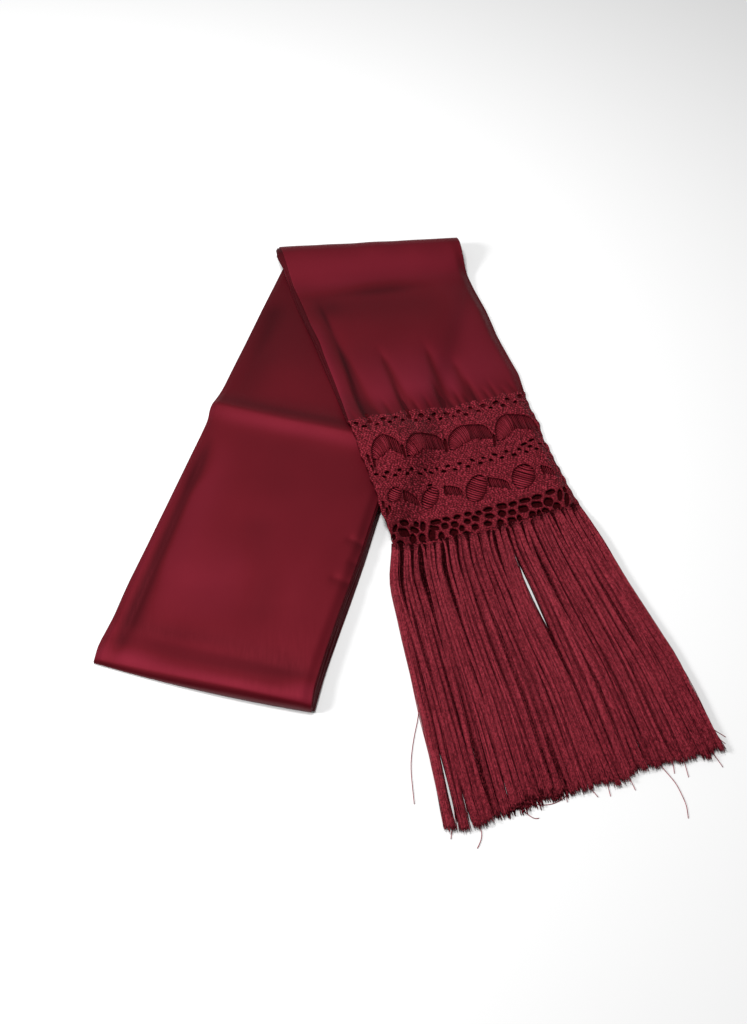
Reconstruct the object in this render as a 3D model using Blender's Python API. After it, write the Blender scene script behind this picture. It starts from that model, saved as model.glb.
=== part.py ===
"""Rebozo shawl, folded lengthwise into a strip and laid on a flat surface.

The strip runs up a left leg, turns over at a rolled top fold and comes back down as a right leg, which
ends in a band of knotted lace and a long fringe. The left leg is the thicker stack: it holds the rest of
the shawl, folded under it. Tables and sizes are in millimetres and the finished solids are in metres.

`across` is measured from a leg's left edge line and `along` from the top fold, both lying flat.
"""

import math
from collections import namedtuple

import bmesh
import bpy
from mathutils import Vector
from mathutils.bvhtree import BVHTree

MM = 0.001

# Driving sizes
STRIP_WIDTH = 181.0        # the shawl, 720 mm wide, folded in four lengthwise
LEFT_LENGTH = 513.0        # top fold to bottom fold
LACE_START = 258.0         # top fold to the lace, down the right leg
LACE_LENGTH = 146.0
FRINGE_LENGTH = 246.0
WALL = 1.5                 # an outer stretch of cloth, two woven layers and the air in them
LACE_WALL = 1.5
GAP = 0.3                  # between pieces that lie on or beside each other
HIDDEN_DEPTH = 2.3         # hidden layers of the right leg

# The top fold: the corner both legs start from, and the line that the strip turns over on
CORNER = Vector((-121.7, 315.4))
LEFT_HEADING = -13.9       # degrees from straight down the plan, towards +X
RIGHT_HEADING = 16.5
FOLD_SLOPE = 4.4           # degrees that the fold line rises towards its right end
FOLD_SETBACK = 4.0         # the fold line lies this far beyond the corner

# How cloth drapes over what is beneath it
DRAPE_REACH = 13.0         # it stays level this far past an edge
DRAPE_SLOPE = 0.5          # then falls no steeper than this
DRAPE_STEP = 6.0
DRAPE_DIRECTIONS = 16

# Sections down the left leg: edges of the top layer, outermost edge of the layers under it, and how
# high the top layer lies at its left edge, inside that edge and on the right
LeftSection = namedtuple("LeftSection", "along left right outer edge_height left_height right_height")
LEFT_SECTIONS = [
    LeftSection(0, 11.5, 182.0, 186.0, 3.4, 5.0, 6.0),
    LeftSection(29, 8.8, 182.5, 187.0, 3.4, 4.6, 6.0),
    LeftSection(61, 7.2, 182.5, 187.0, 3.3, 4.4, 6.0),
    LeftSection(90, 5.8, 182.5, 187.0, 3.3, 4.2, 6.0),
    LeftSection(142, 4.6, 182.5, 187.0, 3.3, 4.2, 6.2),
    LeftSection(215, 1.6, 182.5, 187.0, 3.4, 4.2, 6.8),
    LeftSection(230, -1.6, 182.5, 187.0, 3.8, 5.2, 8.8),
    LeftSection(243, 1.2, 182.5, 187.0, 3.6, 5.2, 10.4),
    LeftSection(306, -0.2, 182.5, 187.0, 3.4, 4.8, 10.8),
    LeftSection(361, -2.2, 181.5, 186.0, 3.4, 4.6, 10.8),
    LeftSection(433, -4.2, 178.5, 183.0, 3.4, 4.6, 11.0),
    LeftSection(468, -4.0, 177.5, 182.0, 3.4, 4.8, 11.6),
    LeftSection(497, -6.5, 177.5, 182.0, 3.4, 5.0, 12.0),
    LeftSection(513, -4.0, 180.0, 182.0, 3.4, 5.0, 12.0),
]
LEFT_COLUMNS = [0, 4, 9.5, 15, 25, 42, 62, 84, 106, 128, 148, 165, 176, STRIP_WIDTH]
LEFT_ROWS = [12, 22, 34, 48, 64, 82, 102, 122, 142, 162, 182, 200, 212, 221, 229, 237, 247, 262, 284,
             308, 332, 356, 380, 404, 428, 450, 468, 482]
# The bottom fold, as the top layer turns down to the surface: station and share of the stack's height
BOTTOM_TURN = [(492, 1.0), (500, 0.985), (506, 0.90), (510, 0.70), (512.3, 0.42), (513, 0.16), (512.7, 0.0)]
BOTTOM_BULGE = 3.0         # the bottom fold bows out this much at its middle
TURN_LEFT_OPEN = 3         # rows of that turn that the hidden layers stop short of
STACK_LAYERS = 4           # rounded edges that show down the stack's right side
LEFT_EDGE_LAYERS = 2
LEFT_LIP = 0.8             # and those on its left stand out this far
LAYER_NOTCH = 0.8          # depth of the groove between two layers

# Sections down the right leg: left edge of the hidden layers, edges of the top layer
RightSection = namedtuple("RightSection", "along hidden_left left right")
RIGHT_SECTIONS = [
    RightSection(0, -3.0, -1.0, 187.0),
    RightSection(8, -6.0, 0.0, 186.5),
    RightSection(27, -7.0, 0.0, 185.5),
    RightSection(34, -4.0, 0.0, 184.5),
    RightSection(60, -3.5, 0.0, 182.0),
    RightSection(93, -4.0, 2.0, 183.0),
    RightSection(124, -2.5, 2.5, 184.0),
    RightSection(150, -0.5, 4.5, 183.0),
    RightSection(168, 0.0, 4.0, 182.0),
    RightSection(211, 1.0, 4.5, 183.0),
    RightSection(233, 1.0, 4.2, 184.0),
    RightSection(LACE_START, 1.0, 3.0, 181.0),
    RightSection(271, 3.5, 3.0, 179.0),
    RightSection(291, 4.0, 3.0, 179.3),
    RightSection(309, 4.5, 3.0, 179.0),
    RightSection(320, 4.5, 3.5, 176.5),
    RightSection(340, 5.0, 4.0, 177.0),
    RightSection(368, 4.0, 2.5, 177.0),
    RightSection(389, 4.5, 3.0, 178.0),
    RightSection(LACE_START + LACE_LENGTH, 5.0, 4.0, 178.0),
]
RIGHT_COLUMNS = [0, 7, 19, 30, 41, 52, 64, 75, 86, 98, 110, 121, 132, 144, 156, 168, 176, STRIP_WIDTH]
# The roll at the top fold, round its far side: station from the fold line, and height
TOP_ROLL = [(10, 0.0), (4, 0.0), (1.2, 2.2), (0.0, 6.0), (0.6, 10.5), (3.5, 14.2), (9, 16.8), (16, 18.0),
            (25, 17.0), (36, 14.4)]
ROLL_UPPER_ROW = 6         # first of those rows that lies over the hidden layers
ROLL_BLEND = (20.0, 62.0)  # the roll sinks into the plain leg between these stations
RIGHT_ROWS = [48, 60, 72, 84, 96, 108, 120, 132, 144, 156, 168, 180, 192, 204, 216, 227, 238, 248,
              LACE_START]
LACE_BASE_ROWS = [270, 282, 294, 306, 318, 330, 342, 354, 366, 378, 391, LACE_START + LACE_LENGTH]
RIGHT_TURN = 10.0          # width over which the right edge turns down to what it lies on

# Soft troughs (negative) and ridges (positive) in the outer stretches
Crease = namedtuple("Crease", "across_0 along_0 across_1 along_1 width height")
LEFT_CREASES = [
    Crease(9.5, 250, 8.5, 500, 5.0, -0.9),
    Crease(42, 486, 138, 494, 8.0, -0.9),
    Crease(-4, 231, 128, 228, 7.0, 0.9),
]
RIGHT_CREASES = [
    Crease(19, 100, 21, 262, 7.0, -1.0),
    Crease(50, 195, 63, 262, 6.0, -0.9),
    Crease(98, 218, 99, 262, 6.0, -0.9),
    Crease(130, 215, 133, 262, 6.0, -0.8),
    Crease(0, 74, 181, 78, 10.0, -1.0),
    Crease(30, 110, 170, 112, 14.0, 0.8),
]

# Knotted lace. One repeat of the net holds a bar and a staggered bar.
NET_REPEATS = 17
NET_BAR = 2.4
NET_ZIGZAG = 0.9
# Row lines down the lace: drop from its top, and what fills the band under that line: solid cloth, a
# row of net gaps (a, or b staggered by half a repeat), or the crescents over the arches
LaceLine = namedtuple("LaceLine", "drop band arch")
LACE_LINES = [
    LaceLine(0.0, "solid", 0.0),
    LaceLine(2.6, "net_a", 0.0),
    LaceLine(7.2, "solid", 0.0),
    LaceLine(9.0, "net_b", 0.0),
    LaceLine(13.6, "solid", 0.0),
    LaceLine(20.0, "solid", 0.15),
    LaceLine(32.0, "crescent", 1.0),
    LaceLine(36.5, "solid", 0.85),
    LaceLine(44.0, "solid", 0.5),
    LaceLine(51.0, "solid", 0.2),
    LaceLine(58.0, "solid", 0.0),
    LaceLine(68.0, "solid", 0.0),
    LaceLine(79.0, "solid", 0.0),
    LaceLine(86.0, "solid", 0.0),
    LaceLine(93.0, "solid", 0.0),
    LaceLine(100.0, "solid", 0.0),
    LaceLine(107.0, "solid", 0.0),
    LaceLine(115.0, "solid", 0.0),
    LaceLine(122.2, "net_a", 0.0),
    LaceLine(127.8, "solid", 0.0),
    LaceLine(129.8, "net_b", 0.0),
    LaceLine(135.4, "solid", 0.0),
    LaceLine(137.4, "net_a", 0.0),
    LaceLine(143.0, "solid", 0.0),
    LaceLine(LACE_LENGTH, "end", 0.0),
]
ARCH_RISE = 9.0
ARCH_EDGES = [-0.09, 0.088, 0.265, 0.47, 0.735, 1.0]   # shares of the lace's width
CRESCENT_SHARE = 0.36      # each crescent is open this share of the arch to each side of its middle
OVAL_DROP = 93.0
OVAL_CENTRES = [0.07, 0.28, 0.55, 0.82]                # shares of the lace's width
OVAL_HALF = (9.0, 13.0)    # half width and half height
RELIEF = 0.5

# Fringe
ROOT_DEPTH = 2.5           # the narrow strip that the strands hang from
ROOT_SHARE = 0.64          # of each strand's pitch that the strand fills
STRAND_HEIGHT = 1.5
STRAND_STEPS = [0.0, 0.05, 0.13, 0.36, 0.66, 1.0]
# Sideways drift of the fringe's first and last strand, by share of the length
FanStep = namedtuple("FanStep", "along left right")
FAN = [FanStep(0, 0, 0), FanStep(0.05, -7.5, 2.5), FanStep(0.13, -14.5, 4), FanStep(0.36, -21, 8.5),
       FanStep(0.66, -28, 16), FanStep(1.0, -37, 15.5)]
# Where the strands end, by share of the fringe's width
EndPoint = namedtuple("EndPoint", "along end")
FRINGE_ENDS = [EndPoint(0.0, 650), EndPoint(0.08, 655), EndPoint(0.27, 652), EndPoint(0.38, 650),
               EndPoint(0.48, 654), EndPoint(0.57, 661), EndPoint(0.67, 658), EndPoint(0.74, 653),
               EndPoint(0.85, 660), EndPoint(0.94, 660), EndPoint(1.0, 657)]
PARTING = (0.585, 1.5)     # the strands part here: share of the width, and half the opening
FringeLayer = namedtuple("FringeLayer", "name strands lift inset tails")
# Tails: strand number, and the (across, along) points that its loose end runs through
FRINGE_LAYERS = [
    FringeLayer("fringe_under", 42, 0.35, 1.6, {
        0: [(-22, 552), (-37, 584), (-52, 628)],
        4: [(-14, 662), (-21, 671)],
        11: [(23, 654), (31, 661)],
        32: [(144, 668), (142, 700)],
        41: [(184, 664), (187, 670)],
    }),
    FringeLayer("fringe_top", 50, 2.25, 1.0, {}),
]
LONG_STRAY = 0             # the one strand whose tail leaves it halfway down
TAIL_SHARE = 0.35          # a tail's thickness, as a share of its strand's


def smooth(share):
    """Ease from 0 to 1."""
    share = min(max(share, 0.0), 1.0)
    return share * share * (3.0 - 2.0 * share)


def lerp(start, end, share):
    return start + (end - start) * share


def section_at(table, along):
    """The section between two rows of a table whose first column is `along`."""
    if along <= table[0].along:
        return table[0]
    for low, high in zip(table, table[1:]):
        if along <= high.along:
            share = (along - low.along) / (high.along - low.along)
            return type(low)(*(lerp(a, b, share) for a, b in zip(low, high)))
    return table[-1]


def heading(degrees):
    """Unit plan vector, turned from straight down the plan towards +X."""
    angle = math.radians(degrees)
    return Vector((math.sin(angle), -math.cos(angle)))


FOLD_POINT = CORNER - heading(RIGHT_HEADING) * FOLD_SETBACK
FOLD_NORMAL = heading(FOLD_SLOPE)


class Leg:
    """A straight stretch of the strip. Its rows lie along the top fold at first and then turn square."""

    def __init__(self, degrees, square_at):
        self.along = heading(degrees)
        self.across = Vector((-self.along.y, self.along.x))
        self.square_at = square_at

    def plan(self, across, station):
        start = (FOLD_POINT - CORNER).dot(FOLD_NORMAL) - across * self.across.dot(FOLD_NORMAL)
        start /= self.along.dot(FOLD_NORMAL)
        slant = max(0.0, 1.0 - station / self.square_at)
        return CORNER + self.across * across + self.along * (station + start * slant)


LEFT_LEG = Leg(LEFT_HEADING, 215.0)
RIGHT_LEG = Leg(RIGHT_HEADING, LACE_START)


def crease_height(creases, across, along):
    """Sum of the soft creases at one place, each fading out towards its ends."""
    total = 0.0
    for crease in creases:
        start = Vector((crease.across_0, crease.along_0))
        run = Vector((crease.across_1, crease.along_1)) - start
        offset = Vector((across, along)) - start
        share = min(max(offset.dot(run) / run.length_squared, 0.0), 1.0)
        distance = (offset - run * share).length
        fade = smooth(share * 5.0) * smooth((1.0 - share) * 5.0)
        total += crease.height * fade * math.exp(-(distance / crease.width) ** 2)
    return total


def move_in(profile, depth):
    """A column's (station, height) points moved to the inner side of the cloth, square to it."""
    moved = []
    last = len(profile) - 1
    for index, (station, height) in enumerate(profile):
        before = profile[max(index - 1, 0)]
        after = profile[min(index + 1, last)]
        run = Vector((after[0] - before[0], after[1] - before[1])).normalized()
        moved.append((station + run.y * depth, height - run.x * depth))
    return moved


class Rest:
    """Finds how high a piece lies when it drapes over the solids made before it."""

    def __init__(self, solids):
        self.trees = []
        for solid in solids:
            points = [vertex.co / MM for vertex in solid.data.vertices]
            faces = [list(face.vertices) for face in solid.data.polygons]
            self.trees.append(BVHTree.FromPolygons(points, faces))

    def top(self, x, y):
        highest = 0.0
        for tree in self.trees:
            hit = tree.ray_cast(Vector((x, y, 100.0)), Vector((0.0, 0.0, -1.0)))[0]
            if hit is not None:
                highest = max(highest, hit.z + GAP)
        return highest

    def height(self, point, reach=DRAPE_REACH, slope=DRAPE_SLOPE, limit=34.0):
        best = self.top(point.x, point.y)
        radius = DRAPE_STEP
        while radius <= limit:
            fall = slope * max(0.0, radius - reach)
            for step in range(DRAPE_DIRECTIONS):
                angle = math.tau * step / DRAPE_DIRECTIONS
                found = self.top(point.x + radius * math.cos(angle), point.y + radius * math.sin(angle))
                best = max(best, found - fall)
            radius += DRAPE_STEP
        return best


def make_material(name, colour, roughness, sheen):
    material = bpy.data.materials.new(name)
    material.use_nodes = True
    shader = material.node_tree.nodes["Principled BSDF"]
    shader.inputs["Base Color"].default_value = (*colour, 1.0)
    shader.inputs["Roughness"].default_value = roughness
    shader.inputs["Metallic"].default_value = 0.0
    shader.inputs["Sheen Weight"].default_value = sheen
    return material


def add_solid(name, vertices, faces, material, smooth_angle=40.0):
    """One closed solid from millimetre points, with its faces turned outwards."""
    mesh = bpy.data.meshes.new(name)
    mesh.from_pydata([tuple(coordinate * MM for coordinate in vertex) for vertex in vertices], [], faces)
    shape = bmesh.new()
    shape.from_mesh(mesh)
    bmesh.ops.recalc_face_normals(shape, faces=shape.faces[:])
    shape.to_mesh(mesh)
    shape.free()
    mesh.materials.append(material)
    mesh.shade_smooth()
    mesh.set_sharp_from_angle(angle=math.radians(smooth_angle))
    solid = bpy.data.objects.new(name, mesh)
    bpy.context.scene.collection.objects.link(solid)
    return solid


def loft(name, rings, upper_count, material):
    """Closed solid through rings of equally many points, with a cap on each end ring. The upper points
    come first. Squares on the upper and lower side are split along the same diagonal, so that layers
    which follow each other stay parallel."""
    size = len(rings[0])
    vertices = [point for ring in rings for point in ring]
    faces = [list(range(size)), list(range((len(rings) - 1) * size, len(rings) * size))]
    for row in range(len(rings) - 1):
        for index in range(size):
            following = (index + 1) % size
            near = [row * size + index, row * size + following]
            far = [(row + 1) * size + index, (row + 1) * size + following]
            if index < upper_count - 1:
                faces += [[near[0], near[1], far[1]], [near[0], far[1], far[0]]]
            else:
                faces += [[near[0], near[1], far[0]], [near[1], far[1], far[0]]]
    return add_solid(name, vertices, faces, material)


# ---------------------------------------------------------------- left leg

def left_top_height(section, across, station):
    """How high the top layer lies on the stack."""
    share = (across - section.left) / (section.right - section.left)
    body = lerp(section.left_height, section.right_height, smooth(share * 1.15))
    body = lerp(section.edge_height, body, smooth((across - section.left) / 12.0))
    body -= 0.8 * smooth((across - section.right + 10.0) / 10.0)
    return body + crease_height(LEFT_CREASES, across, station)


def left_profile(column):
    """Outer (across, station, height) points of one column of the top layer, top fold to floor."""
    share = column / STRIP_WIDTH
    bulge = BOTTOM_BULGE * 4.0 * share * (1.0 - share)
    points = []
    for station, part in [(row, 1.0) for row in LEFT_ROWS] + BOTTOM_TURN:
        section = section_at(LEFT_SECTIONS, station)
        across = lerp(section.left, section.right, share)
        height = left_top_height(section, across, station) * part
        points.append((across, station + bulge * smooth((station - 440.0) / 60.0), height))
    return points


def left_layer(column, depth):
    """(across, station, height) points of one column, moved in by a depth."""
    profile = left_profile(column)
    moved = move_in([(station, height) for _, station, height in profile], depth)
    return [(point[0], station, height) for point, (station, height) in zip(profile, moved)]


def left_point(across, station, height):
    place = LEFT_LEG.plan(across, station)
    return place.x, place.y, max(height, 0.0)


def build_left_stretch(material):
    """The top stretch of the left leg, which turns down to the surface at the bottom fold."""
    outer = [left_layer(column, 0.0) for column in LEFT_COLUMNS]
    inner = [left_layer(column, WALL) for column in LEFT_COLUMNS]
    rings = []
    for row in range(len(outer[0])):
        ring = [left_point(*column[row]) for column in outer]
        ring += [left_point(*column[row]) for column in reversed(inner)]
        rings.append(ring)
    return loft("left_stretch", rings, len(outer), material)


def stack_side(edge, reach, layers, top):
    """Rounded edges of the hidden layers on one side, from under the top layer to the floor. Each lower
    layer reaches further out."""
    _, station, height = top
    outward = math.copysign(1.0, reach)
    points = []
    for layer in range(layers):
        out = edge + reach * (layer + 1) / layers
        points.append(left_point(out, station, height * (1.0 - (layer + 0.5) / layers)))
        if layer < layers - 1:
            points.append(left_point(out - outward * LAYER_NOTCH, station, height * (1.0 - (layer + 1) / layers)))
    points.append(left_point(edge + reach, station, 0.0))
    return points


def build_left_folds(material):
    """The layers under the left leg's top stretch, as one solid that shows its layers at the edges."""
    upper = [left_layer(column, WALL + GAP) for column in LEFT_COLUMNS]
    profile = left_profile(LEFT_COLUMNS[0])
    rings = []
    for row in range(len(profile) - TURN_LEFT_OPEN):
        section = section_at(LEFT_SECTIONS, profile[row][1])
        tops = [column[row] for column in upper]
        right_side = stack_side(section.right, section.outer - section.right, STACK_LAYERS, tops[-1])
        left_side = stack_side(section.left, -LEFT_LIP, LEFT_EDGE_LAYERS, tops[0])
        rings.append([left_point(*top) for top in tops] + right_side + list(reversed(left_side)))
    return loft("left_folds", rings, len(upper), material)


# --------------------------------------------------------------- right leg

class RightGrid:
    """Heights of the right leg's layers at every row and column, worked out once for all its solids."""

    def __init__(self, rest):
        self.rows = TOP_ROLL + [(station, None) for station in RIGHT_ROWS + LACE_BASE_ROWS]
        self.columns = [self.column(column, rest) for column in RIGHT_COLUMNS]
        self.hidden_edge = [self.hidden_edge_point(row, rest) for row in range(len(self.rows))]

    def column(self, column, rest):
        """(across, station, outer height, height of what lies beneath) down one column."""
        share = column / STRIP_WIDTH
        points = []
        for station, roll_height in self.rows:
            section = section_at(RIGHT_SECTIONS, station)
            across = lerp(section.left, section.right, share)
            beneath = rest.height(RIGHT_LEG.plan(across, station))
            outer = self.outer_height(section, across, station, beneath)
            if roll_height is not None:
                sink = smooth((station - ROLL_BLEND[0]) / (ROLL_BLEND[1] - ROLL_BLEND[0]))
                outer = lerp(roll_height, outer, sink)
            elif station < ROLL_BLEND[1]:
                sink = smooth((station - ROLL_BLEND[0]) / (ROLL_BLEND[1] - ROLL_BLEND[0]))
                outer = lerp(TOP_ROLL[-1][1], outer, sink)
            points.append((across, station, outer, beneath))
        return points

    @staticmethod
    def outer_height(section, across, station, beneath):
        hidden = HIDDEN_DEPTH + crease_height(RIGHT_CREASES, across, station)
        turn = smooth((section.right - across) / RIGHT_TURN)
        return beneath + WALL + (hidden + GAP) * turn

    def hidden_edge_point(self, row, rest):
        station = self.rows[row][0]
        section = section_at(RIGHT_SECTIONS, station)
        beneath = rest.height(RIGHT_LEG.plan(section.hidden_left, station))
        return section.hidden_left, station, beneath

    def profile(self, column, depth):
        """(across, station, height) down one column, moved in by a depth."""
        points = self.columns[column]
        moved = move_in([(station, outer) for _, station, outer, _ in points], depth)
        return [(point[0], station, height) for point, (station, height) in zip(points, moved)]


def right_point(across, station, height):
    place = RIGHT_LEG.plan(across, station)
    return place.x, place.y, max(height, 0.0)


def build_right_stretch(grid, material):
    """The top stretch of the right leg, from its lip under the roll to the seam with the lace."""
    last_row = len(TOP_ROLL) + len(RIGHT_ROWS)
    outer = [grid.profile(column, 0.0)[:last_row] for column in range(len(RIGHT_COLUMNS))]
    inner = [grid.profile(column, WALL)[:last_row] for column in range(len(RIGHT_COLUMNS))]
    rings = []
    for row in range(last_row):
        ring = [right_point(*column[row]) for column in outer]
        ring += [right_point(*column[row]) for column in reversed(inner)]
        rings.append(ring)
    return loft("right_stretch", rings, len(outer), material)


def build_right_folds(grid, material):
    """The hidden layers of the right leg and of the lace, with two rounded layers at their left edge."""
    column_count = len(RIGHT_COLUMNS) - 1
    upper = [grid.profile(column, WALL + GAP) for column in range(column_count)]
    rings = []
    for row in range(ROLL_UPPER_ROW, len(grid.rows)):
        tops = [column[row] for column in upper]
        bottoms = [(across, station, grid.columns[index][row][3])
                   for index, (across, station, _) in enumerate(tops)]
        edge, station, beneath = grid.hidden_edge[row]
        station = tops[0][1]
        depth = min(tops[0][2] - beneath, HIDDEN_DEPTH)
        side = [(edge, 0.92), (edge - 0.5, 0.74), (edge + 0.2, 0.5), (edge - 0.7, 0.26), (edge, 0.0)]
        left_side = [(across, station, beneath + depth * share) for across, share in side]
        ring = [right_point(*point) for point in tops]
        ring += [right_point(*point) for point in reversed(bottoms)]
        ring += [right_point(*point) for point in reversed(left_side)]
        rings.append(ring)
    return loft("right_folds", rings, len(upper), material)


# -------------------------------------------------------------------- lace

def arch_share(share):
    """Where a place lies within its arch, from 0 to 1."""
    for low, high in zip(ARCH_EDGES, ARCH_EDGES[1:]):
        if share <= high:
            return (share - low) / (high - low)
    return 1.0


def lace_relief(share, drop):
    """Raised rims round the arches and the leaning ovals, and the sunk ladders inside them."""
    relief = 0.0
    inside = arch_share(share)
    rim = 32.0 - ARCH_RISE * math.sin(math.pi * inside)
    if 20.0 <= drop <= 58.0:
        relief += RELIEF * math.exp(-((drop - rim + 4.0) / 4.0) ** 2)
        relief -= RELIEF * math.exp(-((drop - 46.0) / 8.0) ** 2) * math.sin(math.pi * inside)
    for centre in OVAL_CENTRES:
        aside = (share - centre) * STRIP_WIDTH + 0.25 * (drop - OVAL_DROP)
        reach = math.hypot(aside / OVAL_HALF[0], (drop - OVAL_DROP) / OVAL_HALF[1])
        relief -= RELIEF * math.exp(-(reach / 0.7) ** 4)
        relief += RELIEF * math.exp(-((reach - 1.15) / 0.25) ** 2)
    return relief


class LaceMesh:
    """Builds the lace as a wall over a net of row lines. A line next to net gaps holds a pair of points
    for each bar, and any other line holds one."""

    def __init__(self, rest):
        self.rest = rest
        self.vertices = []
        self.faces = []
        self.bars = 2 * NET_REPEATS + 1

    def is_net(self, index):
        return 0 <= index < len(LACE_LINES) and LACE_LINES[index].band.startswith("net")

    def line_shares(self, index):
        """Shares of the width for each bar on a line: (left, right), equal where the line is plain."""
        paired = self.is_net(index) or self.is_net(index - 1)
        shares = []
        half = 0.5 * NET_BAR / STRIP_WIDTH if paired else 0.0
        for bar in range(self.bars):
            centre = bar / (self.bars - 1)
            if bar == 0:
                shares.append((0.0, 2.0 * half))
            elif bar == self.bars - 1:
                shares.append((1.0 - 2.0 * half, 1.0))
            else:
                shares.append((centre - half, centre + half))
        return paired, shares

    def zigzag(self, index, bar):
        """Net lines rise and fall from bar to bar, so the gaps come out six-sided."""
        edge = bar in (0, self.bars - 1)
        if edge:
            return 0.0
        if self.is_net(index):
            gap_here = (bar % 2 == 1) == (LACE_LINES[index].band == "net_a")
            return -NET_ZIGZAG if gap_here else NET_ZIGZAG
        if self.is_net(index - 1):
            gap_here = (bar % 2 == 1) == (LACE_LINES[index - 1].band == "net_a")
            return NET_ZIGZAG if gap_here else -NET_ZIGZAG
        return 0.0

    def add_point(self, share, drop):
        """One place on the lace, as a lower vertex and an upper one."""
        station = LACE_START + GAP + drop * (LACE_LENGTH - GAP) / LACE_LENGTH
        section = section_at(RIGHT_SECTIONS, station)
        place = RIGHT_LEG.plan(lerp(section.left, section.right, share), station)
        low = self.rest.height(place, reach=6.0, limit=12.0)
        high = low + LACE_WALL + lace_relief(share, drop)
        self.vertices += [(place.x, place.y, low), (place.x, place.y, high)]
        return len(self.vertices) // 2 - 1

    def build_lines(self):
        self.lines = []
        for index, line in enumerate(LACE_LINES):
            paired, shares = self.line_shares(index)
            points = []
            for bar, (left, right) in enumerate(shares):
                drop = line.drop + self.zigzag(index, bar)
                rise = line.arch * ARCH_RISE
                first = self.add_point(left, drop - rise * self.arch_lift(left))
                second = first
                if paired:
                    second = self.add_point(right, drop - rise * self.arch_lift(right))
                points.append((first, second))
            self.lines.append(points)

    @staticmethod
    def arch_lift(share):
        return math.sin(math.pi * arch_share(share)) ** 0.8

    def cells(self):
        """Every filled patch between two lines, as loops of place numbers."""
        for index in range(len(LACE_LINES) - 1):
            band = LACE_LINES[index].band
            above, below = self.lines[index], self.lines[index + 1]
            for bar in range(self.bars):
                loop = [above[bar][0], above[bar][1], below[bar][1], below[bar][0]]
                loop = [place for number, place in enumerate(loop) if place not in loop[:number]]
                if len(loop) > 2 and self.bar_filled(band, bar):
                    yield loop
                if bar < self.bars - 1 and self.space_filled(band, bar):
                    yield [above[bar][1], above[bar + 1][0], below[bar + 1][0], below[bar][1]]

    def bar_filled(self, band, bar):
        if bar in (0, self.bars - 1) or not band.startswith("net"):
            return True
        return (bar % 2 == 0) == (band == "net_a")

    def space_filled(self, band, bar):
        """Whether the space between a bar and the next one is filled."""
        if band == "net_a":
            return False
        if band == "net_b":
            return bar in (0, self.bars - 2)
        if band == "crescent":
            middle = arch_share((bar + 0.5) / (self.bars - 1))
            return abs(middle - 0.5) > CRESCENT_SHARE
        return True

    def build(self, material):
        self.build_lines()
        sides = {}
        for loop in self.cells():
            self.faces.append([2 * place + 1 for place in loop])
            self.faces.append([2 * place for place in reversed(loop)])
            for start, end in zip(loop, loop[1:] + loop[:1]):
                sides[(start, end)] = sides.get((start, end), 0) + 1
        for start, end in sides:
            if (end, start) not in sides:
                self.faces.append([2 * start, 2 * end, 2 * end + 1, 2 * start + 1])
        return add_solid("lace_band", self.vertices, self.faces, material)


# ------------------------------------------------------------------ fringe

def parting_shift(share, along):
    """Sideways step that opens the parting, widest a third of the way down."""
    place, half = PARTING
    nearness = math.exp(-((share - place) / 0.10) ** 2)
    opening = math.exp(-((along - 0.30) / 0.22) ** 2) * smooth(along / 0.08)
    return math.copysign(half * nearness * opening, share - place)


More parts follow.
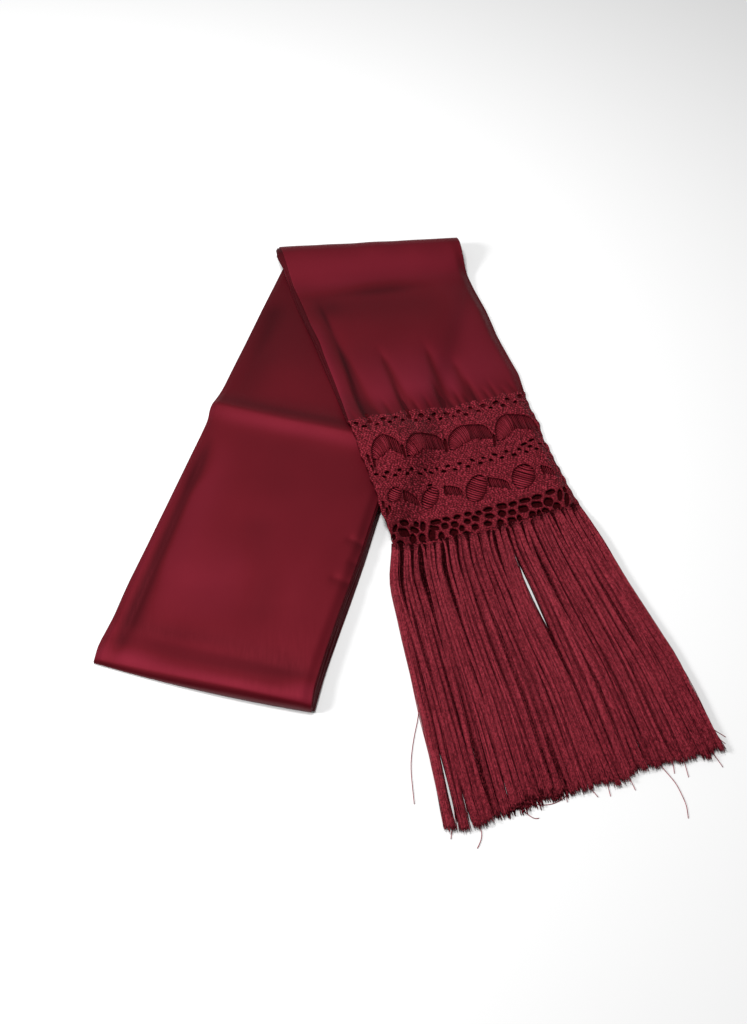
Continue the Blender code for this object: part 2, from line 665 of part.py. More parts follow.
class Fringe:
    """Strands that grow from one narrow strip. Each root is a cell in the strip's front face."""

    def __init__(self, layer, rest):
        self.layer = layer
        self.rest = rest
        self.vertices = []
        self.faces = []
        lace_end = section_at(RIGHT_SECTIONS, LACE_START + LACE_LENGTH)
        self.left = lace_end.left + layer.inset
        self.right = lace_end.right - layer.inset
        self.back = LACE_START + LACE_LENGTH + GAP
        self.front = self.back + ROOT_DEPTH

    def add_ring(self, across, station, width, height, turn=Vector((1.0, 0.0))):
        """Four points round a strand's middle: low left, low right, high right, high left."""
        place = RIGHT_LEG.plan(across, station)
        base = self.rest.height(place, reach=5.0) + self.layer.lift
        aside = RIGHT_LEG.across * turn.x + RIGHT_LEG.along * turn.y
        ring = []
        for side, lift in ((-0.5, 0.0), (0.5, 0.0), (0.5, height), (-0.5, height)):
            ring.append(len(self.vertices))
            corner = place + aside * (side * width)
            self.vertices.append((corner.x, corner.y, base + lift))
        return ring

    def join(self, first, second):
        for index in range(4):
            following = (index + 1) % 4
            self.faces.append([first[index], first[following], second[following], second[index]])

    def route(self, number, across):
        """(across, along) points down one strand, below its root."""
        share = number / (self.layer.strands - 1)
        end = section_at(FRINGE_ENDS, share).end + 2.2 * math.sin(number * 2.4)
        points = []
        for step in STRAND_STEPS[1:]:
            fan = section_at(FAN, step)
            drift = lerp(fan.left, fan.right, share) + parting_shift(share, step)
            points.append((across + drift, lerp(self.front, end, step)))
        return points

    def add_strand(self, number, root, across, width):
        points = self.route(number, across)
        tail = self.layer.tails.get(number, [])
        if tail and number == LONG_STRAY:
            points = points[:3]
        sizes = [(width * (1.0 + 0.2 * step), STRAND_HEIGHT) for step in STRAND_STEPS[1:len(points)]]
        sizes.append((width * 0.8, STRAND_HEIGHT * 0.8))
        sizes += [(width * TAIL_SHARE, STRAND_HEIGHT * TAIL_SHARE)] * len(tail)
        points += tail
        previous = root
        before = (across, self.front)
        for index, ((place, along), (wide, high)) in enumerate(zip(points, sizes)):
            following = points[min(index + 1, len(points) - 1)]
            run = Vector((following[0] - before[0], following[1] - before[1])).normalized()
            ring = self.add_ring(place, along, wide, high, Vector((run.y, -run.x)))
            self.join(previous, ring)
            previous = ring
            before = (place, along)
        self.faces.append(previous)

    def build(self, material):
        pitch = (self.right - self.left) / self.layer.strands
        width = pitch * ROOT_SHARE
        edges = [self.left]
        for number in range(self.layer.strands):
            centre = self.left + pitch * (number + 0.5)
            edges += [centre - 0.5 * width, centre + 0.5 * width]
        edges.append(self.right)
        columns = [self.strip_column(across) for across in edges]
        for index, (first, second) in enumerate(zip(columns, columns[1:])):
            self.faces.append([first[0], second[0], second[1], first[1]])
            self.faces.append([first[2], second[2], second[3], first[3]])
            self.faces.append([first[3], second[3], second[0], first[0]])
            front = [first[1], second[1], second[2], first[2]]
            if index % 2 == 1:
                middle = 0.5 * (edges[index] + edges[index + 1])
                self.add_strand(index // 2, front, middle, width)
            else:
                self.faces.append(front)
        self.faces += [columns[0], columns[-1]]
        return add_solid(self.layer.name, self.vertices, self.faces, material, 50.0)

    def strip_column(self, across):
        """Four points of the strip: low back, low front, high front, high back."""
        middle = RIGHT_LEG.plan(across, 0.5 * (self.back + self.front))
        base = self.rest.height(middle, reach=5.0) + self.layer.lift
        column = []
        for station, lift in ((self.back, 0.0), (self.front, 0.0), (self.front, STRAND_HEIGHT),
                              (self.back, STRAND_HEIGHT)):
            place = RIGHT_LEG.plan(across, station)
            column.append(len(self.vertices))
            self.vertices.append((place.x, place.y, base + lift))
        return column


def main():
    for leftover in list(bpy.data.objects):
        bpy.data.objects.remove(leftover, do_unlink=True)
    cloth = make_material("burgundy_cloth", (0.155, 0.012, 0.020), 0.42, 0.3)
    inner_cloth = make_material("burgundy_folds", (0.120, 0.010, 0.016), 0.50, 0.3)
    lace = make_material("burgundy_lace", (0.165, 0.013, 0.024), 0.60, 0.4)
    fringe = make_material("burgundy_fringe", (0.180, 0.015, 0.028), 0.55, 0.4)

    left_stretch = build_left_stretch(cloth)
    left_folds = build_left_folds(inner_cloth)
    grid = RightGrid(Rest([left_stretch, left_folds]))
    right_folds = build_right_folds(grid, inner_cloth)
    build_right_stretch(grid, cloth)
    LaceMesh(Rest([right_folds])).build(lace)
    for layer in FRINGE_LAYERS:
        Fringe(layer, Rest([left_stretch, left_folds])).build(fringe)


main()
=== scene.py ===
"""Looks of the folded rebozo shawl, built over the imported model.

Each leg's cloth is a thin shell on its solid's form, the lace is a knotted relief with its gaps cut
through, and the fringe is made of separate threads. Tables and sizes are in millimetres, and meshes are
written in metres. `across` is measured from a leg's left edge line and `along`, or a station, from the
top fold, both lying flat. Places in the lace are a share of its width and a drop below its top.
"""

import math
from collections import namedtuple

import bpy
import numpy as np
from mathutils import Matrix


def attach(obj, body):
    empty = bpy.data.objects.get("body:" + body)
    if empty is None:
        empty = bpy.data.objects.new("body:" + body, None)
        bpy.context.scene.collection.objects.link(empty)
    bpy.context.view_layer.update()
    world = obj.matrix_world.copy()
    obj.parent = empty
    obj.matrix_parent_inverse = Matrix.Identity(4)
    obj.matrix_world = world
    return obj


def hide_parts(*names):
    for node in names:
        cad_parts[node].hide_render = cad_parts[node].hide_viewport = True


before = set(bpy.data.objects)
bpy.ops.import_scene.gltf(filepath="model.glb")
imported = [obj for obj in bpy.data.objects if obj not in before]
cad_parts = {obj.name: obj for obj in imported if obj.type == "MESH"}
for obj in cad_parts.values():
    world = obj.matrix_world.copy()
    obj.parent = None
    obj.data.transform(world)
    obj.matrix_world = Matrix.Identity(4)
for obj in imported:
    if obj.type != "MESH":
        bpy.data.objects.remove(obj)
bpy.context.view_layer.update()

MM = 0.001


def table(kind, rows):
    """Rows with named columns."""
    return [kind(*row) for row in rows]


# Driving sizes, as in the part's source
STRIP_WIDTH = 181.0
LACE_START = 258.0
LACE_LENGTH = 146.0
WALL = 1.5
GAP = 0.3
HIDDEN_DEPTH = 2.3
CORNER = np.array([-121.7, 315.4])
LEFT_HEADING = -13.9       # degrees from straight down the plan
RIGHT_HEADING = 16.5
LEFT_SQUARE_AT = 215.0     # station where the left leg's rows lie square
FOLD_SLOPE = 4.4
FOLD_SETBACK = 4.0
DRAPE_REACH = 13.0         # how the right leg's cloth falls past the left leg
DRAPE_SLOPE = 0.5
# Sizes of the looks alone
CLOTH = 1.2                # thickness of a shell of cloth
DRAPE_BLUR = 6.0
FRINGE_REACH = 5.0         # how the fringe falls past it, more closely
FRINGE_BLUR = 3.0
SECTION_BLUR = 4.0
FIRST_STATION = 12.0       # of the left leg's top layer, under the roll

LeftSection = namedtuple("LeftSection", "along left right outer edge_height left_height right_height")
LEFT_SECTIONS = table(LeftSection, [
    (0, 11.5, 182.0, 186.0, 3.4, 5.0, 6.0),
    (29, 8.8, 182.5, 187.0, 3.4, 4.6, 6.0),
    (61, 7.2, 182.5, 187.0, 3.3, 4.4, 6.0),
    (90, 5.8, 182.5, 187.0, 3.3, 4.2, 6.0),
    (142, 4.6, 182.5, 187.0, 3.3, 4.2, 6.2),
    (205, 1.9, 182.5, 187.0, 3.4, 4.2, 6.8),
    (222, 0.0, 182.5, 187.0, 3.8, 5.4, 10.4),
    (230, -1.6, 182.5, 187.0, 3.8, 5.4, 10.8),
    (243, 1.2, 182.5, 187.0, 3.6, 5.0, 10.4),
    (306, -0.2, 182.5, 187.0, 3.4, 4.8, 10.8),
    (361, -2.2, 181.5, 186.0, 3.4, 4.6, 10.8),
    (433, -4.2, 178.5, 183.0, 3.4, 4.6, 11.0),
    (468, -4.0, 177.5, 182.0, 3.4, 4.8, 11.6),
    (497, -6.5, 177.5, 182.0, 3.4, 5.0, 12.0),
    (513, -4.0, 180.0, 182.0, 3.4, 5.0, 12.0),
])
BOTTOM_TURN = (491.0, 513.0)   # stations between which the top layer turns down to the floor
TURN_SHARPNESS = 4.4
TURN_FOOT = 0.03           # share of the height that the turn ends at
BOTTOM_BULGE = 3.0         # how far the fold's middle hangs below its corners
BULGE_START = 440.0
LEFT_RIM = 6.0             # width of the rounding at the left edge
RIGHT_RIM = 10.0           # and at the right edge, which drops by RIGHT_DROP
RIGHT_DROP = 1.3
LEFT_QUIET = 20.0          # the ripples fade out this far from the edges
RIGHT_QUIET = 16.0

RightSection = namedtuple("RightSection", "along hidden_left left right")
RIGHT_SECTIONS = table(RightSection, [
    (0, -3.0, -1.0, 187.0),
    (8, -6.0, 0.0, 186.5),
    (27, -7.0, 0.0, 185.5),
    (34, -4.0, 0.0, 184.5),
    (60, -3.5, 0.0, 182.0),
    (93, -4.0, 2.0, 183.0),
    (124, -2.5, 2.5, 184.0),
    (150, -0.5, 4.5, 183.0),
    (168, 0.0, 4.0, 182.0),
    (211, 1.0, 4.5, 183.0),
    (233, 1.0, 4.2, 184.0),
    (258, 1.0, 3.0, 181.0),
    (271, 3.5, 3.0, 179.0),
    (291, 4.0, 3.0, 179.3),
    (309, 4.5, 3.0, 179.0),
    (320, 4.5, 3.5, 176.5),
    (340, 5.0, 4.0, 177.0),
    (368, 4.0, 2.5, 177.0),
    (389, 4.5, 3.0, 178.0),
    (410, 5.0, 4.0, 178.0),
])
# Round the roll from below: (station, height)
TOP_ROLL = [(10, 0.8), (4, 0.6), (1.2, 2.2), (0.0, 6.0), (0.6, 10.5), (3.5, 14.2), (9, 16.8), (16, 18.0),
            (25, 17.7), (36, 17.5)]
ROLL_SAMPLES, ROLL_BLUR = 400, 9.0
ROLL_ROWS = 46
ROLL_UNDERSIDE = 10        # rows that lie underneath
ROLL_BLEND = (14.0, 66.0)  # stations between which the roll gives way to the leg
RIGHT_TURN = 10.0          # width of the turn down at the right edge
LACE_FADE = 40.0           # how far into the lace the cloth's gathers die away

# Soft troughs (negative) and ridges (positive). A small tip makes the line sharp, and the bow bends it.
Crease = namedtuple("Crease", "across_0 along_0 across_1 along_1 width tip height bow")
LEFT_CREASES = table(Crease, [
    (-70, 217, 250, 236, 13, 1.0, 2.8, -4),
    (12, 238, 12, 530, 6, 2.0, -1.7, 0),
    (-4, 479, 200, 487, 10, 4.0, -1.3, 2),
    (-10, 168, 200, 176, 24, 12.0, 1.0, 4),
    (100, 262, 185, 470, 22, 14.0, 0.8, 8),
    (28, 300, 52, 430, 26, 14.0, 0.7, -5),
    (70, 320, 125, 470, 24, 14.0, -0.7, 6),
    (16, 60, 20, 215, 12, 6.0, -0.8, 3),
    (150, 236, 178, 300, 10, 5.0, -0.6, 3),
    (163, 349, 188, 357, 3.2, 1.5, -0.8, 1), (160, 392, 188, 397, 3.6, 1.5, -0.9, 1),
    (170, 372, 188, 376, 2.8, 1.5, -0.5, 1),
])
RIGHT_CREASES = table(Crease, [
    (18, 76, 24.5, 300, 5.5, 1.4, -2.5, 1),
    (58, 160, 64.5, 290, 5, 1.6, -1.6, 0),
    (105, 160, 104, 290, 5.5, 2.0, -1.5, -1),
    (126, 185, 128, 290, 5, 2.2, -1.1, 0),
    (-90, 85, 150, 79, 16, 3.5, -0.85, 0),
    (30, 78, 250, 86, 16, 8.0, -0.6, 0),
    (-60, 146, 240, 150, 34, 22.0, 1.7, 8),
    (8, 100, 8, 290, 7, 3.5, 0.8, 0),
])
# Broad patches of painted light and shade, brighter or darker; a slope tips a patch
PaintedLightPatch = namedtuple("PaintedLightPatch", "across along reach_across reach_along amount slope", defaults=(0.0,))
LEFT_PAINTED_LIGHT = table(PaintedLightPatch, [
    (90, 80, 150, 84, -0.46), (90, 221, 110, 7, -0.44, 0.06), (80, 238, 100, 9, 0.52, 0.06),
    (80, 262, 90, 13, -0.10, 0.06), (24, 170, 20, 40, -0.34), (26, 337, 18, 64, 0.28),
    (120, 310, 40, 60, -0.08), (60, 420, 60, 40, 0.30), (9, 390, 4, 110, -0.52),
    (78, 481, 70, 7, 0.60), (100, 494, 50, 3, -0.14), (99, 508, 90, 6, 0.64),
    (20, 503, 30, 8, 0.62), (172, 499, 18, 9, 0.60), (178, 380, 5, 90, -0.45),
    (176, 300, 14, 120, -0.06), (1, 360, 3, 120, 0.20),
])
RIGHT_PAINTED_LIGHT = table(PaintedLightPatch, [
    (95, 44, 140, 26, 0.36), (60, 64, 70, 9, 0.16), (64, 106, 60, 22, -0.20),
    (128, 116, 24, 22, -0.12), (24, 102, 16, 15, -0.34), (95, 216, 90, 36, 0.50),
    (83, 232, 50, 14, 0.22), (3, 205, 5, 80, 0.45), (21, 200, 4, 66, -0.34),
    (157, 150, 20, 60, 0.24), (179, 130, 5, 120, -0.30), (82, 235, 12, 22, 0.12),
    (40, 240, 10, 20, 0.12), (114, 240, 5, 26, 0.20), (10, 160, 5, 50, 0.16),
])
HOLLOW_PAINTED_SHADE = 0.68        # painted shade: how much darker the deepest hollows are
HOLLOW_DEEP = 1.4
CREASE_FADE = 0.25         # share of a crease's length that each end fades over
# Small gathers that run up into the cloth from the lace, and lean as they go
Gather = namedtuple("Gather", "across length width depth")
GATHERS = table(Gather, [
    (9, 26, 2.6, 0.9), (21, 70, 2.4, 1.4), (33, 18, 2.2, 0.6), (44, 30, 2.6, 0.8),
    (61, 52, 2.6, 1.6), (72, 20, 2.2, 0.7), (84, 26, 2.4, 0.8), (99, 46, 2.6, 1.6),
    (108, 18, 2.2, 0.8), (116, 30, 2.4, 1.0), (124, 16, 2.0, 0.8), (133, 44, 2.6, 1.4),
    (144, 22, 2.2, 0.9), (152, 34, 2.4, 1.0), (162, 18, 2.2, 0.7), (171, 26, 2.4, 0.8),
])
GATHER_FOOT = LACE_START + 2.0
GATHER_LEAN = 3.0
CLOTH_UNDER_LACE = 6.0     # how far the cloth runs on beneath the lace
# Faint unevenness of the handled cloth: seed of its waves, their length, and their height
Ripple = namedtuple("Ripple", "seed size height")
LEFT_RIPPLE = Ripple(11, 60.0, 0.28)
RIGHT_RIPPLE = Ripple(23, 55.0, 0.26)
ROLL_RIPPLE = Ripple(31, 48.0, 0.2)
RIPPLE_WAVES = 7


# ---- helpers

def ease(share):
    share = np.clip(share, 0.0, 1.0)
    return share * share * (3.0 - 2.0 * share)


def lerp(start, end, share):
    return start + (end - start) * share


def soften(values, reach):
    """Gaussian smoothing along the last axis, with a reach in samples."""
    half = int(3 * reach) + 1
    weights = np.exp(-0.5 * (np.arange(-half, half + 1) / reach) ** 2)
    weights /= weights.sum()
    padded = np.pad(values, [(0, 0)] * (values.ndim - 1) + [(half, half)], mode="edge")
    count = values.shape[-1]
    return sum(weight * padded[..., start:start + count] for start, weight in enumerate(weights))


def curve_through(points, count, reach):
    """Evenly spaced samples of a line through flat points, rounded off: one row for each coordinate."""
    route = np.array(points, float)
    lengths = np.concatenate([[0.0], np.cumsum(np.hypot(*np.diff(route, axis=0).T))])
    fine = np.linspace(0.0, 1.0, count) * lengths[-1]
    return soften(np.array([np.interp(fine, lengths, column) for column in route.T]), reach)


def heading(degrees):
    """Unit plan vector, turned from straight down the plan towards +X."""
    angle = math.radians(degrees)
    return np.array([math.sin(angle), -math.cos(angle)])


class Track:
    """The columns of a table as smooth curves of its first column."""

    def __init__(self, rows, reach):
        known, *columns = np.array(rows, float).T
        self.places = np.linspace(known[0], known[-1], 600)
        step = self.places[1] - self.places[0]
        curves = [np.interp(self.places, known, column) for column in columns]
        self.curves = dict(zip(rows[0]._fields[1:], soften(np.array(curves), reach / step)))

    def at(self, field, place):
        return np.interp(place, self.places, self.curves[field])

    def edges(self, place):
        return self.at("left", place), self.at("right", place)


LEFT = Track(LEFT_SECTIONS, SECTION_BLUR)
RIGHT = Track(RIGHT_SECTIONS, SECTION_BLUR)
FOLD_POINT = CORNER - heading(RIGHT_HEADING) * FOLD_SETBACK
FOLD_NORMAL = heading(FOLD_SLOPE)


class Leg:
    """A straight stretch of the strip. Its rows lie along the top fold at first and then turn square."""

    def __init__(self, degrees, square_at):
        self.along = heading(degrees)
        self.across = np.array([-self.along[1], self.along[0]])
        self.square_at = square_at

    def fold_start(self, across):
        """How far down the leg its top fold lies, at a place across."""
        start = (FOLD_POINT - CORNER) @ FOLD_NORMAL - across * (self.across @ FOLD_NORMAL)
        return start / (self.along @ FOLD_NORMAL)

    def points(self, across, station, height):
        """Points of the part's frame, on a last axis."""
        down = station + self.fold_start(across) * np.maximum(0.0, 1.0 - station / self.square_at)
        x = CORNER[0] + self.across[0] * across + self.along[0] * down
        y = CORNER[1] + self.across[1] * across + self.along[1] * down
        return np.stack(np.broadcast_arrays(x, y, height), axis=-1)

    def place(self, x, y):
        """Across and station of a place on the plan."""
        across = (x - CORNER[0]) * self.across[0] + (y - CORNER[1]) * self.across[1]
        down = (x - CORNER[0]) * self.along[0] + (y - CORNER[1]) * self.along[1]
        start = self.fold_start(across)
        slanted = (down - start) / (1.0 - start / self.square_at)
        return across, np.where(slanted < self.square_at, slanted, down)


LEFT_LEG = Leg(LEFT_HEADING, LEFT_SQUARE_AT)
RIGHT_LEG = Leg(RIGHT_HEADING, LACE_START)


def crease_height(creases, across, along):
    """Sum of the soft creases, each fading out towards its ends."""
    total = 0.0
    for crease in creases:
        run_across = crease.across_1 - crease.across_0
        run_along = crease.along_1 - crease.along_0
        length = math.hypot(run_across, run_along)
        aside = across - crease.across_0
        down = along - crease.along_0
        reach = (aside * run_across + down * run_along) / length ** 2
        share = np.clip(reach, 0.0, 1.0)
        offset = (aside * run_along - down * run_across) / length
        offset = offset - crease.bow * 4.0 * share * (1.0 - share)
        distance = np.sqrt(offset ** 2 + ((reach - share) * length) ** 2 + crease.tip ** 2) - crease.tip
        fade = ease(share / CREASE_FADE) * ease((1.0 - share) / CREASE_FADE)
        total += crease.height * fade * np.exp(-distance / crease.width)
    return total


def painted_cloth_light(painted_patches, hollow, across, along):
    """How bright the cloth's colour is, with painted light and shade in it: 1 on the level, less with
    painted shade in its hollows, and more or less under each patch of painted light and shade.
    """
    tone = 1.0 - HOLLOW_PAINTED_SHADE * ease(hollow / HOLLOW_DEEP)
    # painted light or shade of each patch
    for patch in painted_patches:
        aside = (across - patch.across) / patch.reach_across
        down = (along - patch.along - patch.slope * (across - patch.across)) / patch.reach_along
        tone = tone + patch.amount * np.exp(-aside ** 2 - down ** 2)
    return tone


def ripple(kind, across, along):
    """A few slow waves in mixed directions."""
    draw = np.random.default_rng(kind.seed)
    total = 0.0
    for _ in range(RIPPLE_WAVES):
        angle = draw.uniform(0.0, math.pi)
        length = kind.size * draw.uniform(0.7, 1.8)
        phase = draw.uniform(0.0, math.tau)
        total += np.sin(math.tau * (across * math.cos(angle) + along * math.sin(angle)) / length + phase)
    return kind.height * total / math.sqrt(RIPPLE_WAVES)


# ---- surfaces

def left_height(across, station):
    """How high the left leg's top layer lies."""
    left, right = LEFT.edges(station)
    share = (across - left) / (right - left)
    body = lerp(LEFT.at("left_height", station), LEFT.at("right_height", station), ease(share * 1.15))
    body = lerp(LEFT.at("edge_height", station), body, ease((across - left) / LEFT_RIM))
    body = body - RIGHT_DROP * ease((across - right + RIGHT_RIM) / RIGHT_RIM)
    body = body + crease_height(LEFT_CREASES, across, station)
    inside = ease((across - left) / LEFT_QUIET) * ease((right - across) / LEFT_QUIET)
    return body + inside * ripple(LEFT_RIPPLE, across, station)


class HeightMap:
    """Heights over the plan, on a square raster."""

    STEP = 2.0
    LOW = (-262.0, -346.0)
    COUNT = (263, 347)
    FURTHEST = 34.0        # how far past an edge a draped cloth is worked out

    def __init__(self, heights):
        self.heights = heights

    @classmethod
    def of_left_leg(cls):
        x = cls.LOW[0] + cls.STEP * np.arange(cls.COUNT[0])[:, None]
        y = cls.LOW[1] + cls.STEP * np.arange(cls.COUNT[1])[None, :]
        across, station = LEFT_LEG.place(x, y)
        inside = (across > LEFT.at("left", station)) & (across < LEFT.at("outer", station))
        inside &= (station > FIRST_STATION) & (station < BOTTOM_TURN[1] - 4.0)
        return cls(np.where(inside, left_height(across, station) + GAP, 0.0))

    def draped(self, reach):
        """What cloth does over this: level for its reach past an edge, and then falling."""
        pad = int(self.FURTHEST / self.STEP)
        padded = np.pad(self.heights, pad)
        best = self.heights.copy()
        rows, columns = self.heights.shape
        for i in range(-pad, pad + 1):
            for j in range(-pad, pad + 1):
                radius = math.hypot(i, j) * self.STEP
                if radius > self.FURTHEST:
                    continue
                fall = DRAPE_SLOPE * max(0.0, radius - reach)
                moved = padded[pad + i:pad + i + rows, pad + j:pad + j + columns]
                np.maximum(best, moved - fall, out=best)
        return HeightMap(best)

    def blurred(self, reach):
        once = soften(self.heights, reach / self.STEP)
        return HeightMap(soften(once.T, reach / self.STEP).T)

    def at(self, x, y):
        i = np.clip((x - self.LOW[0]) / self.STEP, 0, self.COUNT[0] - 1.001)
        j = np.clip((y - self.LOW[1]) / self.STEP, 0, self.COUNT[1] - 1.001)
        low_i = i.astype(int)
        low_j = j.astype(int)
        near = lerp(self.heights[low_i, low_j], self.heights[low_i + 1, low_j], i - low_i)
        far = lerp(self.heights[low_i, low_j + 1], self.heights[low_i + 1, low_j + 1], i - low_i)
        return lerp(near, far, j - low_j)


LEFT_TOP = HeightMap.of_left_leg()
DRAPE = LEFT_TOP.draped(DRAPE_REACH).blurred(DRAPE_BLUR)
FRINGE_REST = LEFT_TOP.draped(FRINGE_REACH).blurred(FRINGE_BLUR)


def gather_height(across, station):
    """How far the small gathers sink the cloth."""
    total = 0.0
    for gather in GATHERS:
        down = (station - (GATHER_FOOT - gather.length)) / gather.length
        aside = (across - gather.across + GATHER_LEAN * (1.0 - down)) / gather.width
        total -= gather.depth * ease(down) * np.exp(-aside ** 2)
    return total


def height_over(height_map, across, station):
    """A height map's heights at places on the right leg."""
    place = RIGHT_LEG.points(across, station, 0.0)
    return height_map.at(place[..., 0], place[..., 1])


def right_height(across, station):
    """Outer height of the right leg, past its roll."""
    left, right = RIGHT.edges(station)
    hidden = HIDDEN_DEPTH + crease_height(RIGHT_CREASES, across, station)
    fade = ease((LACE_START + LACE_FADE - station) / LACE_FADE)
    hidden = hidden + fade * gather_height(across, station)
    inside = ease((across - left) / RIGHT_QUIET) * ease((right - across) / RIGHT_QUIET)
    hidden = hidden + inside * fade * ripple(RIGHT_RIPPLE, across, station)
    turn = ease((right - across) / RIGHT_TURN)
    return height_over(DRAPE, across, station) + WALL + (hidden + GAP) * turn


def right_surface(shares, step):
    """Outer places of the right leg's top stretch: across, station and height."""
    picked = np.linspace(0, ROLL_SAMPLES - 1, ROLL_ROWS).astype(int)
    roll_stations, roll_heights = curve_through(TOP_ROLL, ROLL_SAMPLES, ROLL_BLUR)[:, picked]
    last = LACE_START + CLOTH_UNDER_LACE
    later = np.arange(roll_stations[-1] + step, last + 0.5 * step, step)
    station = np.append(roll_stations, later)[:, None]
    over_roll = np.append(roll_heights, np.full(len(later), roll_heights[-1]))[:, None]
    across = lerp(*RIGHT.edges(station), shares[None, :])
    sink = ease((station - ROLL_BLEND[0]) / (ROLL_BLEND[1] - ROLL_BLEND[0]))
    sink[:ROLL_UNDERSIDE] = 0.0
    height = lerp(over_roll, right_height(across, station), sink)
    roll_part = 1.0 - sink
    height = height + roll_part * ease((height - 6.0) / 6.0) * ripple(ROLL_RIPPLE, across, station)
    return across, np.broadcast_to(station, across.shape), height


def left_surface(shares, step):
    """Outer places of the left leg's top stretch, down to the floor at the bottom fold."""
    flat = np.arange(FIRST_STATION, BOTTOM_TURN[0], step)
    angle = np.linspace(0.0, 0.5 * math.pi, 22)
    turn = BOTTOM_TURN[0] + (BOTTOM_TURN[1] - BOTTOM_TURN[0]) * np.sin(angle) ** (2.0 / TURN_SHARPNESS)
    part = np.maximum(np.cos(angle) ** (2.0 / TURN_SHARPNESS), TURN_FOOT)
    stations = np.append(flat, turn)[:, None]
    parts = np.append(np.ones(len(flat)), part)[:, None]
    across = lerp(*LEFT.edges(stations), shares[None, :])
    height = left_height(across, stations) * parts
    bulge = BOTTOM_BULGE * 4.0 * shares * (1.0 - shares)
    station = stations + bulge[None, :] * ease((stations - BULGE_START) / 60.0)
    return across, station, height


# ---- meshes

def grid_normals(points):
    """Unit normals of a grid of points, upwards where it lies flat."""
    down = np.gradient(points, axis=0)
    aside = np.gradient(points, axis=1)
    normals = np.cross(down, aside)
    normals /= np.maximum(np.linalg.norm(normals, axis=-1, keepdims=True), 1e-9)
    return normals


def rounded(distance, radius):
    """Share of the full half thickness at a distance in from a round edge."""
    inside = np.clip(distance / radius, 0.0, 1.0)
    return np.sqrt(1.0 - (1.0 - inside) ** 2)


def add_object(data, place=(0.0, 0.0, 0.0), turn=(0.0, 0.0, 0.0)):
    made = bpy.data.objects.new(data.name, data)
    made.location = place
    made.rotation_euler = turn
    bpy.context.scene.collection.objects.link(made)
    return made


def add_mesh(name, points, face_sets, material, tone=None, uv=None, flat=0):
    """A smooth-shaded mesh object from millimetre points and arrays of triangles or quads. The last few
    faces can be flat, and the tone is a brightness for each point, which carries painted light and shade."""
    mesh = bpy.data.meshes.new(name)
    corners = np.concatenate([faces.ravel() for faces in face_sets]).astype(np.int32)
    sizes = np.concatenate([np.full(len(faces), faces.shape[1]) for faces in face_sets])
    starts = np.concatenate([[0], np.cumsum(sizes)[:-1]]).astype(np.int32)
    mesh.vertices.add(len(points))
    mesh.vertices.foreach_set("co", (points * MM).astype(np.float32).ravel())
    mesh.loops.add(len(corners))
    mesh.loops.foreach_set("vertex_index", corners)
    mesh.polygons.add(len(sizes))
    mesh.polygons.foreach_set("loop_start", starts)
    mesh.update(calc_edges=True)
    if tone is not None:
        layer = mesh.attributes.new("tone", "FLOAT", "POINT")
        layer.data.foreach_set("value", tone.astype(np.float32))
    if uv is not None:
        layer = mesh.uv_layers.new(name="OFBake")
        layer.uv.foreach_set("vector", uv[corners].astype(np.float32).ravel())
    mesh.polygons.foreach_set("use_smooth", np.arange(len(sizes)) < len(sizes) - flat)
    mesh.validate()
    mesh.materials.append(material)
    return add_object(mesh)


def dress(piece, slot, *nodes):
    """The piece rides on the shawl's one body, and stands for its CAD nodes."""
    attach(piece, "root")
    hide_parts(*nodes)
    return piece


def closed_sheet(outer, inner, keep, welded):
    """A sheet between two grids of points, of which only the cells in keep are filled. The two sides
    share the points in welded, and the last faces close the ends that aren't welded. Gives its points,
    its quads, how many close its ends, which point of the grid each came from, and its unwrapping."""
    rows, columns = welded.shape
    top = np.arange(rows * columns).reshape(rows, columns)
    bottom = np.where(welded, top, rows * columns + np.cumsum(~welded).reshape(rows, columns) - 1)
    points = np.concatenate([outer.reshape(-1, 3), inner[~welded]])

    def quads(index):
        corners = [index[:-1, :-1], index[1:, :-1], index[1:, 1:], index[:-1, 1:]]
        return np.stack([corner[keep] for corner in corners], axis=-1)

    def end(row, cells):
        cells = cells & ~welded[row, :-1] & ~welded[row, 1:]
        corners = [top[row, :-1], top[row, 1:], bottom[row, 1:], bottom[row, :-1]]
        return np.stack([corner[cells] for corner in corners], axis=-1)

    ends = np.concatenate([end(0, keep[0]), end(-1, keep[-1])[:, ::-1]])
    faces = np.concatenate([quads(top), quads(bottom)[:, ::-1], ends])
    used, inverse = np.unique(faces, return_inverse=True)
    source = np.concatenate([np.arange(top.size), np.flatnonzero(~welded)])[used]
    row, column = np.divmod(source, columns)
    half = (used >= top.size) * 0.5
    uv = np.stack([column / columns * 0.49 + half, row / rows], axis=-1)
    return points[used], inverse.reshape(faces.shape), len(ends), source, uv


def rim_distance(outer):
    """Distance of each point of a grid from the nearest of its four sides."""
    across = np.linalg.norm(np.diff(outer, axis=1), axis=-1)
    from_left = np.pad(np.cumsum(across, axis=1), ((0, 0), (1, 0)))
    down = np.linalg.norm(np.diff(outer, axis=0), axis=-1)
    from_first = np.pad(np.cumsum(down, axis=0), ((1, 0), (0, 0)))
    from_right = from_left[:, -1:] - from_left
    from_last = from_first[-1:] - from_first
    return np.minimum.reduce([from_left, from_right, from_first, from_last])


def shell_piece(name, outer, material, tone=None):
    """A closed shell of cloth whose outer side is a grid of points, with rounded rims."""
    normals = grid_normals(outer)
    distance = rim_distance(outer)
    half = 0.5 * CLOTH * rounded(distance, 0.5 * CLOTH)[..., None]
    middle = outer - normals * 0.5 * CLOTH
    keep = np.ones((outer.shape[0] - 1, outer.shape[1] - 1), bool)
    points, faces, ends, source, uv = closed_sheet(middle + normals * half, middle - normals * half, keep,
                                                   distance < 1e-6)
    values = None if tone is None else tone.ravel()[source]
    return add_mesh(name, points, [faces], material, values, uv, ends)


RIM_SHARE = 0.5 * CLOTH / STRIP_WIDTH      # of the width that a rounded rim takes up
RIM_SHARES = RIM_SHARE * np.array([0.0, 0.08, 0.3, 0.65])


